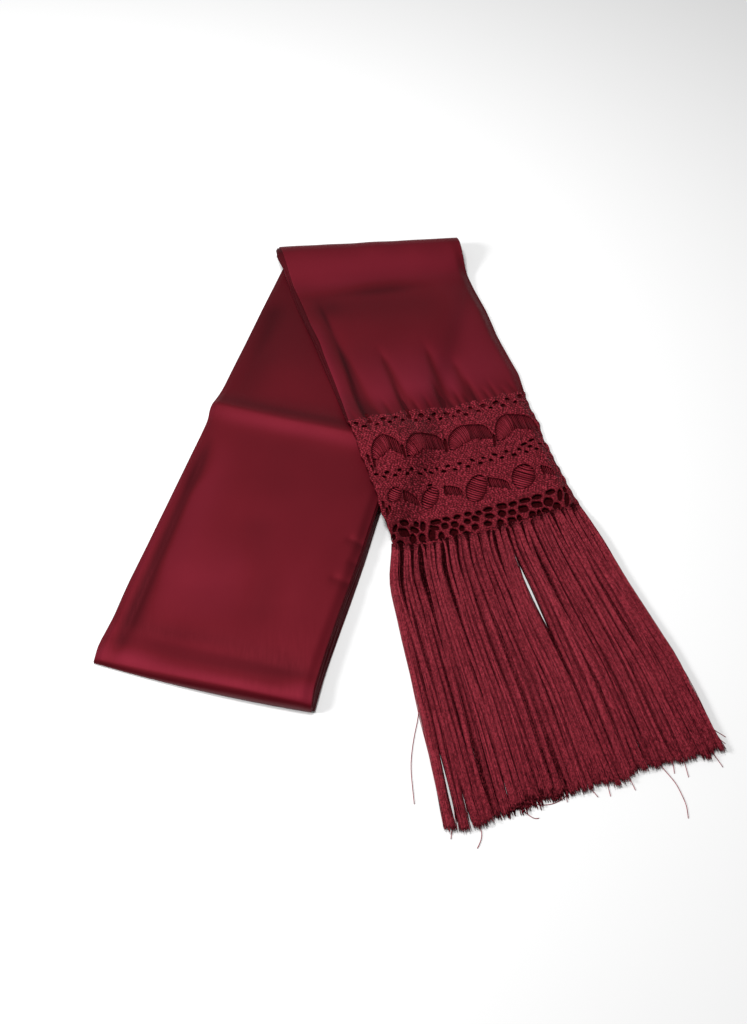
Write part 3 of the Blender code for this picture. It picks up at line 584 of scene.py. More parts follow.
def strip_shares(count):
    """Shares across a strip: closely spaced in its rounded rims and even between them."""
    middle = np.linspace(RIM_SHARE, 1.0 - RIM_SHARE, count)
    return np.concatenate([RIM_SHARES, middle, 1.0 - RIM_SHARES[::-1]])


def ring_faces(index):
    """Quads between the rings of closed tubes, and a cap at each end: tubes, rings, points of a ring."""
    following = np.roll(index, -1, axis=-1)
    walls = np.stack([index[:, :-1], following[:, :-1], following[:, 1:], index[:, 1:]], axis=-1)
    return [walls.reshape(-1, 4), index[:, 0, ::-1], index[:, -1]]


def tube_grid(paths, radii, sides):
    """Points of round tubes along paths: tubes, then rings, then points round each ring."""
    tangents = np.gradient(paths, axis=1)
    tangents /= np.maximum(np.linalg.norm(tangents, axis=-1, keepdims=True), 1e-9)
    aside = np.cross(tangents, np.array([0.0, 0.0, 1.0]))
    aside /= np.maximum(np.linalg.norm(aside, axis=-1, keepdims=True), 1e-9)
    upward = np.cross(aside, tangents)
    angles = math.tau * (np.arange(sides) / sides + 0.25)
    turn = aside[:, :, None] * np.cos(angles)[:, None] + upward[:, :, None] * np.sin(angles)[:, None]
    return paths[:, :, None] + turn * radii[:, :, None, None]


def tubes(name, paths, radii, sides, material, tone):
    """Many closed tubes as one piece. The radii and the tone hold a value for each ring."""
    grid = tube_grid(paths, radii, sides)
    count, rings = paths.shape[:2]
    index = np.arange(count * rings * sides).reshape(count, rings, sides)
    tube, ring, corner = np.indices(index.shape)
    uv = np.stack([(tube + 0.15 + 0.7 * corner / sides) / count, ring / (rings - 1)], axis=-1)
    return add_mesh(name, grid.reshape(-1, 3), ring_faces(index), material, np.repeat(tone, sides),
                    uv.reshape(-1, 2))


# ---- materials

GLOSS_TINT = (1.0, 0.09, 0.145, 1.0)
SHEEN_TINT = (1.0, 0.20, 0.30, 1.0)


class Nodes:
    """Short calls for building a material's node tree."""

    def __init__(self, name):
        self.material = bpy.data.materials.new(name)
        self.material.use_nodes = True
        self.tree = self.material.node_tree
        self.shader = self.tree.nodes["Principled BSDF"]

    def add(self, kind, inputs=None, **settings):
        node = self.tree.nodes.new(kind)
        for key, value in settings.items():
            setattr(node, key, value)
        for key, value in (inputs or {}).items():
            self.feed(node.inputs[key], value)
        return node

    def feed(self, socket, value):
        if isinstance(value, bpy.types.NodeSocket):
            self.tree.links.new(value, socket)
        else:
            socket.default_value = value

    def coordinates(self, degrees=0.0, scale=(1.0, 1.0, 1.0)):
        """Object coordinates turned to lie along a leg, and scaled."""
        place = self.add("ShaderNodeTexCoord").outputs["Object"]
        turn = (0.0, 0.0, math.radians(degrees))
        return self.add("ShaderNodeMapping", {"Vector": place, "Rotation": turn, "Scale": scale}).outputs[0]

    def noise(self, vector, scale, detail=2.0, roughness=0.5):
        inputs = {"Vector": vector, "Scale": scale, "Detail": detail, "Roughness": roughness}
        return self.add("ShaderNodeTexNoise", inputs).outputs["Fac"]

    def wave(self, vector, scale, distortion, detail, direction):
        inputs = {"Vector": vector, "Scale": scale, "Distortion": distortion, "Detail": detail}
        return self.add("ShaderNodeTexWave", inputs, bands_direction=direction).outputs["Fac"]

    def maths(self, operation, first, second):
        return self.add("ShaderNodeMath", {0: first, 1: second}, operation=operation).outputs[0]

    def scaled(self, colour, amount):
        return self.add("ShaderNodeVectorMath", {0: colour, "Scale": amount}, operation="SCALE").outputs[0]

    def sum(self, first, second):
        return self.add("ShaderNodeVectorMath", {0: first, 1: second}, operation="ADD").outputs[0]

    def remap(self, value, low, high, new_low, new_high):
        inputs = {"Value": value, "From Min": low, "From Max": high, "To Min": new_low, "To Max": new_high}
        return self.add("ShaderNodeMapRange", inputs).outputs["Result"]

    def ramp(self, value, stops):
        node = self.add("ShaderNodeValToRGB", {"Fac": value})
        elements = node.color_ramp.elements
        while len(elements) < len(stops):
            elements.new(0.5)
        for element, (position, colour) in zip(elements, stops):
            element.position = position
            element.color = (*colour, 1.0)
        return node.outputs["Color"]

    def attribute(self, name):
        return self.add("ShaderNodeAttribute", attribute_name=name).outputs["Fac"]

    def bump(self, height, strength, distance):
        inputs = {"Height": height, "Strength": strength, "Distance": distance}
        return self.add("ShaderNodeBump", inputs).outputs["Normal"]

    def finish(self, roughness, specular, sheen, **inputs):
        """Sets the shader: its constants first, and then what the nodes feed it."""
        constants = {"Roughness": roughness, "Specular IOR Level": specular, "Specular Tint": GLOSS_TINT,
                     "Sheen Weight": sheen, "Sheen Roughness": 0.5, "Sheen Tint": SHEEN_TINT}
        for key, value in [*constants.items(), *inputs.items()]:
            self.feed(self.shader.inputs[key.replace("_", " ")], value)
        return self.material


CLOTH_DARK = (0.056, 0.0022, 0.0048)
CLOTH_MIDDLE = (0.063, 0.0026, 0.0056)
CLOTH_BRIGHT = (0.070, 0.0031, 0.0065)
CLOTH_PAINTED_HIGHLIGHT = (0.020, 0.0048, 0.0115)   # painted highlight: where the painted light is brighter than level, the cloth is also pinker


def cloth_material(name, degrees, shade=None):
    """Satin weave: fine warp threads along the leg. It is darkened evenly as painted shade, or else by its
    piece's tone of painted light and shade, with a pinker painted highlight where that is bright.
    """
    nodes = Nodes(name)
    turned = nodes.coordinates(-degrees)
    slow = nodes.noise(turned, 14.0, 3.0)
    fine = nodes.noise(nodes.coordinates(-degrees, (900.0, 60.0, 900.0)), 1.0, 2.0)
    mixed = nodes.maths("ADD", nodes.maths("MULTIPLY", slow, 0.75), nodes.maths("MULTIPLY", fine, 0.25))
    colour = nodes.ramp(mixed, [(0.25, CLOTH_DARK), (0.5, CLOTH_MIDDLE), (0.75, CLOTH_BRIGHT)])
    tone = nodes.attribute("tone") if shade is None else shade
    # painted highlight: pinker where the painted light is brighter than level
    lift = nodes.maths("MAXIMUM", nodes.maths("SUBTRACT", tone, 1.0), 0.0)
    colour_with_painted_light = nodes.sum(nodes.scaled(colour, tone), nodes.scaled(CLOTH_PAINTED_HIGHLIGHT, lift))
    warp = nodes.wave(turned, 380.0, 1.0, 1.0, "X")
    weft = nodes.wave(turned, 260.0, 1.5, 1.0, "Y")
    weave = nodes.maths("ADD", warp, nodes.maths("MULTIPLY", weft, 0.5))
    normal = nodes.bump(weave, 0.12, 0.0002)
    roughness = nodes.remap(fine, 0.0, 1.0, 0.46, 0.60)
    return nodes.finish(0.53, 0.65, 0.03, Base_Color=colour_with_painted_light, Normal=normal, Roughness=roughness)


# ---- pieces

FOLD_FACE_PAINTED_SHADE = 0.5           # painted shade on the face that turns down at the bottom fold
LEFT_COLUMNS, LEFT_STEP = 112, 2.2
RIGHT_COLUMNS, RIGHT_STEP = 116, 1.6
LAYER_STEP = 2.4


def build_left_cloth():
    across, station, height = left_surface(strip_shares(LEFT_COLUMNS), LEFT_STEP)
    # painted light and shade: the patches, and painted shade in the hollows
    tone = painted_cloth_light(LEFT_PAINTED_LIGHT, -crease_height(LEFT_CREASES, across, station), across, station)
    # painted shade on the face that turns down at the bottom fold
    tone = tone * lerp(1.0, FOLD_FACE_PAINTED_SHADE, ease((station - BOTTOM_TURN[1] + 4.0) / 3.0))
    piece = shell_piece("left_cloth", LEFT_LEG.points(across, station, height),
                        cloth_material("satin_left", LEFT_HEADING), tone)
    dress(piece, "cloth", "left_stretch")


def build_right_cloth():
    across, station, height = right_surface(strip_shares(RIGHT_COLUMNS), RIGHT_STEP)
    relief = crease_height(RIGHT_CREASES, across, station) + gather_height(across, station)
    # painted light and shade: the patches, and painted shade in the hollows and gathers
    tone = painted_cloth_light(RIGHT_PAINTED_LIGHT, -relief, across, station)
    piece = shell_piece("right_cloth", RIGHT_LEG.points(across, station, height),
                        cloth_material("satin_right", RIGHT_HEADING), tone)
    dress(piece, "cloth", "right_stretch")


# ---- hidden layers

LAYER_SEED = 5
LAYER_PAINTED_SHADE = 0.35         # painted shade: the folded edges lie in each other's shade
STACK_LAYERS = 6           # folded edges that show down the left leg's right side
LEFT_EDGE_LAYERS = 2       # and down its left side
LEFT_LIP = 1.6             # how far they reach out there
STACK_COLUMNS, STACK_STEP = 26, 3.0
EDGE_POINTS = 6            # points round each folded edge
EDGE_ROUND = 0.6           # how deep the rounding of an edge is
EDGE_INSET = 0.3           # from the cloth's own edge
LAYER_GAP = 0.1
ROWS_OPEN = 6              # rows of the bottom turn that the layers stop short of
FLOOR_CLEAR = 0.15
HIDDEN_RIGHT_INSET = 4.0   # the right leg's hidden layers end this far inside its right edge
ROLL_END = 30.0            # station where they leave the roll and lie flat


def layered_side(leg, top, station, reaches, edge, sign):
    """Points down one side of a stack, with a round edge for each layer. Each is a column of rows."""
    thickness = top / len(reaches)
    columns = []
    for layer, reach in enumerate(reaches):
        for angle in np.linspace(0.12, 0.88, EDGE_POINTS) * math.pi:
            out = edge + sign * (reach - EDGE_ROUND * (1.0 - math.sin(angle)))
            height = top - thickness * (layer + 0.5 * (1.0 - math.cos(angle)))
            columns.append(leg.points(out, station, height))
    return columns


def build_left_layers():
    """The folded layers under the left leg's top stretch: one form that shows its layers at the edges."""
    outer = LEFT_LEG.points(*left_surface(np.linspace(0.0, 1.0, STACK_COLUMNS), STACK_STEP))
    inner = (outer - grid_normals(outer) * (CLOTH + LAYER_GAP))[:-ROWS_OPEN]
    across, station = LEFT_LEG.place(inner[..., 0], inner[..., 1])
    draw = np.random.default_rng(LAYER_SEED)

    right_edge, right_station = across[:, -1] - EDGE_INSET, station[:, -1]
    right_reach = LEFT.at("outer", right_station) - right_edge
    reaches = []
    for layer in range(STACK_LAYERS):
        wander = 0.5 * np.sin(right_station / draw.uniform(18.0, 40.0) + draw.uniform(0.0, math.tau))
        reaches.append(right_reach * (0.25 + 0.7 * (layer + 1) / STACK_LAYERS) + wander)
    right_side = layered_side(LEFT_LEG, inner[:, -1, 2], right_station, reaches, right_edge, 1.0)

    left_edge, left_station = across[:, 0] + EDGE_INSET, station[:, 0]
    reaches = [LEFT_LIP * (layer + 1) / LEFT_EDGE_LAYERS + 0.25 * np.sin(left_station / 23.0 + layer)
               for layer in range(LEFT_EDGE_LAYERS)]
    left_side = layered_side(LEFT_LEG, inner[:, 0, 2], left_station, reaches, left_edge, -1.0)

    underside = [lerp(right_side[-1], left_side[-1], share) for share in np.linspace(0.02, 0.98, 8)]
    rings = np.stack([*np.moveaxis(inner, 1, 0), *right_side, *underside, *reversed(left_side)], axis=1)
    rings[..., 2] = np.maximum(rings[..., 2], FLOOR_CLEAR)
    count, size = rings.shape[:2]
    index = np.arange(count * size).reshape(1, count, size)
    uv = np.stack(np.meshgrid(np.arange(size) / size, np.arange(count) / count), axis=-1).reshape(-1, 2)
    # the layers' satin is darker, as painted shade
    piece = add_mesh("left_layers", rings.reshape(-1, 3), ring_faces(index[:, ::-1]),
                     cloth_material("satin_left_layers_painted_shade", LEFT_HEADING, LAYER_PAINTED_SHADE), uv=uv)
    dress(piece, "folded_cloth", "left_folds")


# Hidden layers of the right leg: how deep each lies, how far inside the outermost edge it ends, and how
# far that end wanders
HiddenLayer = namedtuple("HiddenLayer", "name depth inset wander")
HIDDEN_LAYERS = table(HiddenLayer, [
    ("right_layer_upper", 1.4, 1.6, 0.35),
    ("right_layer_lower", 2.7, 0.0, 0.5),
])


def build_right_layer(layer, material):
    """One hidden layer, whose folded edge shows at the right leg's left side and at the roll's end."""
    shares = np.concatenate([RIM_SHARES, np.linspace(0.0034, 0.05, 8), np.linspace(0.1, 1.0, 10)])
    outer = RIGHT_LEG.points(*right_surface(shares, LAYER_STEP))
    moved = outer - grid_normals(outer) * layer.depth
    station = RIGHT_LEG.place(moved[..., 0], moved[..., 1])[1]
    left = RIGHT.at("hidden_left", station) + layer.inset
    left = left + layer.wander * np.sin(station / 19.0 + 3.0 * layer.depth)
    out = lerp(left, RIGHT.at("right", station) - HIDDEN_RIGHT_INSET, shares[None, :])
    floor = height_over(DRAPE, out, station) + CLOTH
    height = np.where(station > ROLL_END, np.maximum(moved[..., 2], floor), moved[..., 2])
    points = RIGHT_LEG.points(out, station, np.maximum(height, CLOTH + FLOOR_CLEAR))
    dress(shell_piece(layer.name, points, material), "folded_cloth", "right_folds")


# ---- lace

OPENING_SEED, KNOT_SEED, THREAD_SEED = 41, 8, 19
NET_PITCHES = 17           # openings across the net; a bundle of fringe hangs between each two
LACE_COLUMNS = 300
LACE_ROWS = 252
LACE_WIDTH = 176.0
LACE_DEEP = 151.0          # from the top of the knots to the lowest cords
LACE_SPLIT = 100           # row where the upper piece ends
SNAP_REACH = 0.45          # share of a cell that a point can move to meet an opening's edge
GROUND_HALF = 0.5          # half thickness of the knotted ground
CORD_HALF = 1.0
KNOT_PITCH = (2.75, 2.2)   # across and down
KNOT_HALF = (1.45, 0.80)   # half sizes along its lean and square to it
KNOT_HEIGHT = 0.62
KNOT_STRAY = (0.40, 0.26)  # across and down, for a knot set by hand
KNOT_TWIST = 22.0          # and in degrees
KNOT_LEAN = 38.0           # one way and then the other, in pairs of rows
BOW_START, BOW_DEPTH = 80.0, 4.0
NET_DROP = 120.0           # the ground gives way to the open net here
NET_ARC = 4.5              # depth of the open arcs at its foot
NET_SPREAD = 1.10          # how far each opening of the net pulls wide
NET_TONE = (0.14, 0.5)     # of its cords, and how much painted highlight their knots add
LACE_DEPTH = 0.45          # of the middle of the lace under the right leg's surface

# Openings in rows: drop of the row, how many, where in its pitch each lies, half sizes, how far they stray,
# and how low the row bows
OpeningRow = namedtuple("OpeningRow", "drop count offset half_across half_down stray bow")
OPENING_ROWS = table(OpeningRow, [
    (8.4, 14, 0.5, 2.5, 1.9, 1.1, 1.0),
    (14.2, 13, 1.0, 1.9, 1.5, 1.3, 1.0),
    (69.8, 15, 0.5, 2.1, 1.4, 1.3, 1.5),
    (75.0, 14, 1.0, 2.1, 1.4, 1.3, 1.5),
])
# Single openings: share, drop, half sizes, lean in degrees, and the power that says how square it is
Opening = namedtuple("Opening", "share drop half_across half_down lean power")
SINGLE_OPENINGS = table(Opening, [
    (0.030, 51.0, 0.8, 5.0, 6.0, 2.4), (0.050, 57.0, 0.8, 5.5, 6.0, 2.4),
    (0.030, 62.0, 0.7, 3.5, 6.0, 2.4), (0.022, 104.0, 0.8, 4.0, 8.0, 2.4),
    (0.030, 112.0, 0.9, 4.0, 8.0, 2.4), (0.048, 109.0, 0.8, 3.0, 8.0, 2.4),
    (0.875, 66.5, 3.4, 1.0, -12.0, 2.4), (0.925, 64.0, 3.0, 1.0, -12.0, 2.4),
    (0.221, 51.5, 1.0, 7.5, 4.0, 2.2), (0.463, 47.5, 1.3, 8.5, 10.0, 2.2),
    (0.727, 54.0, 1.2, 7.5, 10.0, 2.2), (0.300, 88.0, 2.4, 0.9, -12.0, 1.8),
])
# The net between the ground and the fringe: three uneven rows of openings, and slits on its right. They
# were measured one by one, turned into these places by a program, and some were then moved
NET_OPENINGS = table(Opening, [
    (0.036, 129.5, 1.3, 4.4, 37, 1.5), (0.095, 123.8, 3.6, 2.4, -12, 2.5),
    (0.156, 125.2, 1.7, 2.3, 25, 3.2), (0.184, 128.3, 1.8, 4.4, 23, 2.5),
    (0.256, 126.4, 4.2, 2.2, 0, 2.5), (0.313, 125.6, 2.9, 1.7, 11, 2.0),
    (0.369, 125.9, 3.2, 1.7, -13, 1.6), (0.429, 125.4, 2.6, 1.7, -5, 2.6),
    (0.484, 126.9, 2.3, 1.9, -10, 2.8), (0.536, 125.6, 4.1, 2.0, -5, 1.5),
    (0.612, 125.7, 3.9, 2.5, 10, 3.0), (0.671, 126.6, 3.2, 1.9, -11, 3.2),
    (0.738, 126.4, 4.4, 2.0, 2, 2.5), (0.806, 126.2, 4.5, 2.3, -2, 1.6),
    (0.885, 125.1, 4.1, 2.2, -8, 2.5), (0.924, 131.0, 1.8, 5.6, 25, 2.5),
    (0.964, 126.4, 1.5, 3.0, 27, 2.0),
    (0.014, 138.2, 1.4, 2.7, 22, 1.6), (0.075, 133.1, 4.1, 3.6, -3, 4.0),
    (0.135, 130.9, 3.2, 2.5, 35, 2.6), (0.237, 131.8, 3.6, 2.0, 30, 2.8),
    (0.291, 132.2, 3.1, 2.7, -41, 1.6), (0.342, 132.8, 2.8, 3.2, 40, 1.6),
    (0.409, 132.6, 2.9, 2.4, -16, 1.5), (0.455, 131.5, 2.6, 2.4, 31, 3.2),
    (0.530, 132.5, 3.7, 2.3, 12, 2.0), (0.595, 133.0, 2.9, 3.1, 43, 2.5),
    (0.648, 134.6, 2.9, 2.5, -8, 2.5), (0.710, 134.3, 3.9, 3.2, 7, 4.0),
    (0.787, 133.7, 4.3, 2.9, 15, 3.0), (0.850, 134.6, 3.6, 4.1, 35, 3.0),
    (0.948, 137.2, 1.8, 6.6, 24, 2.5),
    (0.036, 145.2, 2.7, 4.0, 27, 2.2), (0.109, 139.6, 2.6, 4.8, 22, 1.6),
    (0.157, 139.9, 2.3, 4.3, 23, 2.6), (0.210, 138.4, 2.5, 5.2, 23, 2.8),
    (0.252, 142.0, 2.2, 4.4, 23, 1.5), (0.320, 140.6, 3.0, 3.4, 30, 3.0),
    (0.368, 138.2, 1.8, 2.6, 27, 3.2), (0.376, 145.0, 3.2, 2.4, -30, 2.0),
    (0.435, 139.9, 3.1, 2.7, -41, 1.6), (0.504, 139.4, 3.3, 2.5, 7, 1.6),
    (0.566, 142.0, 2.4, 3.3, 27, 2.6), (0.628, 142.1, 3.2, 2.5, 11, 2.8),
    (0.669, 142.1, 1.9, 3.0, 25, 1.5), (0.742, 142.5, 2.5, 3.3, 26, 3.2),
    (0.777, 143.0, 1.7, 3.1, 24, 2.0), (0.814, 142.3, 3.1, 2.8, 9, 1.6),
    (0.881, 141.2, 2.9, 3.5, 28, 2.6), (0.960, 146.1, 1.9, 3.2, 43, 2.8),
])
# Arches of long threads: shares where each starts, peaks and ends, drop of its top, how far the top
# falls to the right, drop of its foot, and length of its threads on the right
Arch = namedtuple("Arch", "start peak end top fall foot thick")
ARCHES = table(Arch, [
    (0.052, 0.150, 0.214, 28.5, 10.0, 54.0, 17.0),
    (0.232, 0.345, 0.458, 32.5, 2.0, 58.0, 17.0),
    (0.476, 0.600, 0.724, 28.5, 4.5, 54.0, 18.0),
    (0.740, 0.852, 0.983, 27.0, 8.5, 56.0, 18.5),
    (0.136, 0.150, 0.212, 92.0, 7.0, 104.0, 9.0),
    (0.360, 0.375, 0.448, 92.0, 5.0, 103.0, 9.0),
    (0.600, 0.612, 0.700, 94.0, 7.0, 105.0, 10.0),
    (0.898, 0.910, 0.957, 94.5, 6.0, 105.5, 9.0),
])
LEFT_POWER = 2.0           # roundness of an arch's left and right shoulders
RIGHT_POWER = 6.0
FAN_PITCH = 2.0            # between the threads that fan out from an arch's left shoulder
FAN_LEAST = 5.0            # arches narrower than this on the left have no fan
FAN_TIP = 0.12             # of that width, from the outline to the tip of the fan
FAN_POWER = 1.6            # how the ground rises from the tip
THREAD_PITCH = 1.45        # between threads along the rest of the arch
THREAD_POINTS = 9
# The fan's threads and the rest: how far each rises in its middle, and how bright it is, the lower threads
# of the rest darker as painted shade
ThreadLook = namedtuple("ThreadLook", "radius lift tone")
FAN_LOOK = ThreadLook(0.54, 0.2, 0.54)
REST_LOOK = ThreadLook(0.50, -0.6, 0.28)
# Leaning ovals crossed by short threads, in the terms of an opening with its number of threads
Oval = namedtuple("Oval", (*Opening._fields, "threads"))
OVALS = table(Oval, [
    (0.093, 95.5, 5.5, 8.5, 38.0, 2.0, 7),
    (0.277, 101.0, 6.5, 12.0, 38.0, 2.0, 9),
    (0.530, 102.0, 8.5, 15.0, 38.0, 2.0, 12),
    (0.792, 101.5, 10.0, 14.0, 38.0, 2.0, 11),
])


def lace_bow(share, drop):
    """The lace's rows hang lower in the middle, more so towards its foot."""
    growth = ease((drop - BOW_START) / (LACE_LENGTH - BOW_START))
    return BOW_DEPTH * np.sin(math.pi * np.clip(share, 0.0, 1.0)) * growth


def lace_top(share, drop):
    """Outer points of the lace before its relief."""
    station = LACE_START + drop + lace_bow(share, drop)
    across = lerp(*RIGHT.edges(station), share)
    flat = np.minimum(station, LACE_START + LACE_LENGTH)
    return across, station, right_height(across, flat)


def opening_distance(opening, across, drop):
    """Rough distance outside a rounded opening, negative within it. It leans to the right as it rises."""
    angle = math.radians(opening.lean)
    aside = across - opening.share * LACE_WIDTH
    down = drop - opening.drop
    wide = np.abs((aside * math.cos(angle) + down * math.sin(angle)) / opening.half_across)
    deep = np.abs((down * math.cos(angle) - aside * math.sin(angle)) / opening.half_down)
    reach = (wide ** opening.power + deep ** opening.power) ** (1.0 / opening.power)
    return (reach - 1.0) * min(opening.half_across, opening.half_down)


def arch_distance(arch, across, drop):
    """Rough distance outside an arch's band of threads, negative within it. Its left shoulder is rounder
    than its right one, and the knotted ground rises again inside it."""
    start, peak, end = (LACE_WIDTH * share for share in (arch.start, arch.peak, arch.end))
    high = arch.foot - arch.top
    left_way = np.maximum(peak - across, 0.0) / (peak - start)
    right_way = np.maximum(across - peak, 0.0) / (end - peak)
    above = arch.foot - drop + arch.fall * right_way
    side = np.maximum(left_way, right_way)
    power = np.where(across < peak, LEFT_POWER, RIGHT_POWER)
    reach = (side ** power + (np.maximum(above, 0.0) / high) ** power) ** (1.0 / power)
    outside = (reach - 1.0) * np.minimum(high, peak - start)
    rise = (high - arch.thick) * np.maximum(1.0 - left_way / (1.0 - FAN_TIP), 0.0) ** FAN_POWER
    ground = rise - above + 0.5 * np.sin(across / 1.1)
    return np.maximum(outside, ground)


def lace_openings():
    """Every small opening, with the uneven spacing and size of hand-tied work."""
    draw = np.random.default_rng(OPENING_SEED)
    openings = list(SINGLE_OPENINGS)
    for opening in NET_OPENINGS:
        openings.append(opening._replace(half_across=opening.half_across * NET_SPREAD,
                                         half_down=opening.half_down * NET_SPREAD))
    for row in OPENING_ROWS:
        for number in range(row.count):
            share = (number + row.offset) / (row.count + (row.offset == 1.0))
            share += draw.normal(0.0, 0.35 * row.stray) / LACE_WIDTH
            drop = row.drop + row.bow * math.sin(math.pi * share) + draw.normal(0.0, 0.4 * row.stray)
            half_across = row.half_across * draw.uniform(0.66, 1.16)
            half_down = row.half_down * draw.uniform(0.66, 1.16)
            openings.append(Opening(share, drop, half_across, half_down, draw.normal(0.0, 24.0),
                                    draw.uniform(1.3, 3.0)))
    return openings


def lace_distance(share, drop):
    """Distance into the lace's cords, from the nearest opening."""
    across = share * LACE_WIDTH
    distance = np.full(share.shape, 50.0)
    for arch in ARCHES:
        distance = np.minimum(distance, arch_distance(arch, across, drop))
    for opening in [*lace_openings(), *OVALS]:
        distance = np.minimum(distance, opening_distance(opening, across, drop))
    return distance


def knot_relief(share, drop):
    """Heights from 0 to 1 of the small leaning knots, in wavy rows."""
    across = share * LACE_WIDTH
    down = drop + 1.8 * np.sin(across / 9.0 + 0.6) + 1.1 * np.sin(across / 4.3 + drop / 11.0)
    across = across + 1.2 * np.sin(drop / 7.0 + across / 31.0)
    draw = np.random.default_rng(KNOT_SEED)
    pitch_across, pitch_down = KNOT_PITCH
    size = (int(LACE_DEEP / pitch_down) + 6, int(LACE_WIDTH / pitch_across) + 6)
    shift_across = draw.normal(0.0, KNOT_STRAY[0], size)
    shift_down = draw.normal(0.0, KNOT_STRAY[1], size)
    lean = draw.normal(0.0, KNOT_TWIST, size)
    strength = draw.uniform(0.45, 1.0, size)
    relief = np.zeros(share.shape)
    nearest_row = np.round(down / pitch_down).astype(int)
    for row_step in (-1, 0, 1):
        row = np.clip(nearest_row + row_step + 2, 0, size[0] - 1)
        offset = 0.5 * (row % 2)
        nearest_column = np.round(across / pitch_across - offset).astype(int)
        for column_step in (-1, 0, 1):
            column = np.clip(nearest_column + column_step + 2, 0, size[1] - 1)
            aside = across - (column - 2 + offset) * pitch_across - shift_across[row, column]
            below = down - (row - 2) * pitch_down - shift_down[row, column]
            side = np.where((row // 2) % 2 == 0, 1.0, -1.0)
            angle = np.radians(side * KNOT_LEAN + lean[row, column])
            long_way = (aside * np.cos(angle) + below * np.sin(angle)) / KNOT_HALF[0]
            short_way = (below * np.cos(angle) - aside * np.sin(angle)) / KNOT_HALF[1]
            bulge = np.sqrt(np.maximum(1.0 - long_way ** 2 - short_way ** 2, 0.0))
            relief = np.maximum(relief, strength[row, column] * bulge)
    return relief


def snap_to_rims(share, drop, distance, on_rim):
    """Moves the points beside an opening on to its edge, so that it comes out round."""
    step_across = LACE_WIDTH / (LACE_COLUMNS - 1)
    step_down = LACE_DEEP / (LACE_ROWS - 1)
    slope_down, slope_across = np.gradient(distance, step_down, step_across)
    steep = np.maximum(slope_across ** 2 + slope_down ** 2, 0.2)
    far_across, far_down = SNAP_REACH * step_across, SNAP_REACH * step_down
    move_across = on_rim * np.clip(-distance * slope_across / steep, -far_across, far_across)
    move_down = on_rim * np.clip(-distance * slope_down / steep, -far_down, far_down)
    return share + move_across / LACE_WIDTH, drop + move_down


def rim_points(keep, sides):
    """Which points of a grid lie on the rim of its filled cells, or on its sides beside one."""
    count = np.zeros(sides.shape)
    for rows in (slice(None, -1), slice(1, None)):
        for columns in (slice(None, -1), slice(1, None)):
            count[rows, columns] += keep
    return (count > 0) & ((count < 4) | sides)


def lace_outline(share, drop):
    """Distance into the lace from its openings, its uneven top and the open arcs at its foot."""
    across = share * LACE_WIDTH
    top = 1.4 + 1.1 * np.sin(across / 5.1) + 0.7 * np.sin(across / 2.3 + 1.0)
    arcs = np.abs(np.sin(share * math.pi * NET_PITCHES + 0.3 * np.sin(across / 11.0))) ** 0.7
    foot = LACE_DEEP - 0.5 - (NET_ARC + 1.5 * np.sin(across / 7.3)) * arcs
    return np.minimum.reduce([lace_distance(share, drop), drop - top, foot - drop])


def lace_grid():
    """The lace's outer and inner points, which cells are filled, and each point's rim and tone."""
    share, drop = np.meshgrid(np.linspace(0.0, 1.0, LACE_COLUMNS), np.linspace(0.0, LACE_DEEP, LACE_ROWS))
    distance = lace_outline(share, drop)
    keep = distance[:-1, :-1] + distance[1:, :-1] + distance[1:, 1:] + distance[:-1, 1:] > 0.0
    sides = (share == 0.0) | (share == 1.0)
    on_rim = rim_points(keep, sides)
    share, drop = snap_to_rims(share, drop, distance, on_rim & ~sides)
    inward = np.minimum(distance, np.minimum(share, 1.0 - share) * LACE_WIDTH)
    inward = np.where(on_rim, 0.0, np.maximum(inward, 0.0))
    edge_wave = 0.5 * np.sin(drop / 2.2) + 0.5 * np.sin(drop / 5.3)
    outward = np.where(share < 0.5, -1.0, 1.0) * ease((np.abs(share - 0.5) - 0.46) / 0.04)
    middle = RIGHT_LEG.points(*lace_top(share + outward * edge_wave / LACE_WIDTH, drop))
    net = ease((drop - NET_DROP) / 4.0)
    half = lerp(GROUND_HALF, CORD_HALF, net) * rounded(inward, lerp(0.6, 1.0, net))
    knots = knot_relief(share, drop)
    height = KNOT_HEIGHT * knots * rounded(inward, 1.0) * lerp(1.0, 0.75, net)
    middle[..., 2] -= LACE_DEPTH
    outer = middle.copy()
    outer[..., 2] += half + height
    inner = middle.copy()
    inner[..., 2] -= half
    # painted highlight on the knots' crowns, and painted shade towards the openings' rims
    net_tone = NET_TONE[0] + NET_TONE[1] * knots
    tone = lerp(knots, net_tone, net) * (0.4 + 0.6 * rounded(inward, 1.1))
    return outer, inner, keep, on_rim, tone


def build_lace(material):
    """The knotted lace, in an upper and a lower piece."""
    outer, inner, keep, on_rim, tone = lace_grid()
    for name, first, last in [("lace_upper", 0, LACE_SPLIT), ("lace_lower", LACE_SPLIT, LACE_ROWS - 1)]:
        rows = slice(first, last + 1)
        points, faces, ends, source, uv = closed_sheet(outer[rows], inner[rows], keep[first:last],
                                                       on_rim[rows])
        piece = add_mesh(name, points, [faces], material, tone[rows].ravel()[source], uv, ends)
        dress(piece, "lace", "lace_band")


UNDER_DEPTH = 2.4          # the folded lace below lies this far under the top of the lace
UNDER_REACH = 7.0          # and shows this far past the foot of it
UNDER_START = -5.0         # drop of its first row
UNDER_COLUMNS, UNDER_STEP = 116, 1.5
UNDER_INSET = 0.004        # share of the width that its sides lie inside the lace's
NET_PAINTED_SHADE = 0.45           # painted shade: how much darker it is below the net
# Chinks through all the layers at the roots of the fringe
CHINKS = [Opening(share, LACE_LENGTH + 2.5, half_across, 3.4, 0.0, 2.0)
          for share, half_across in [(0.030, 0.9), (0.395, 0.8), (0.600, 1.3), (0.830, 0.9), (0.990, 0.9)]]


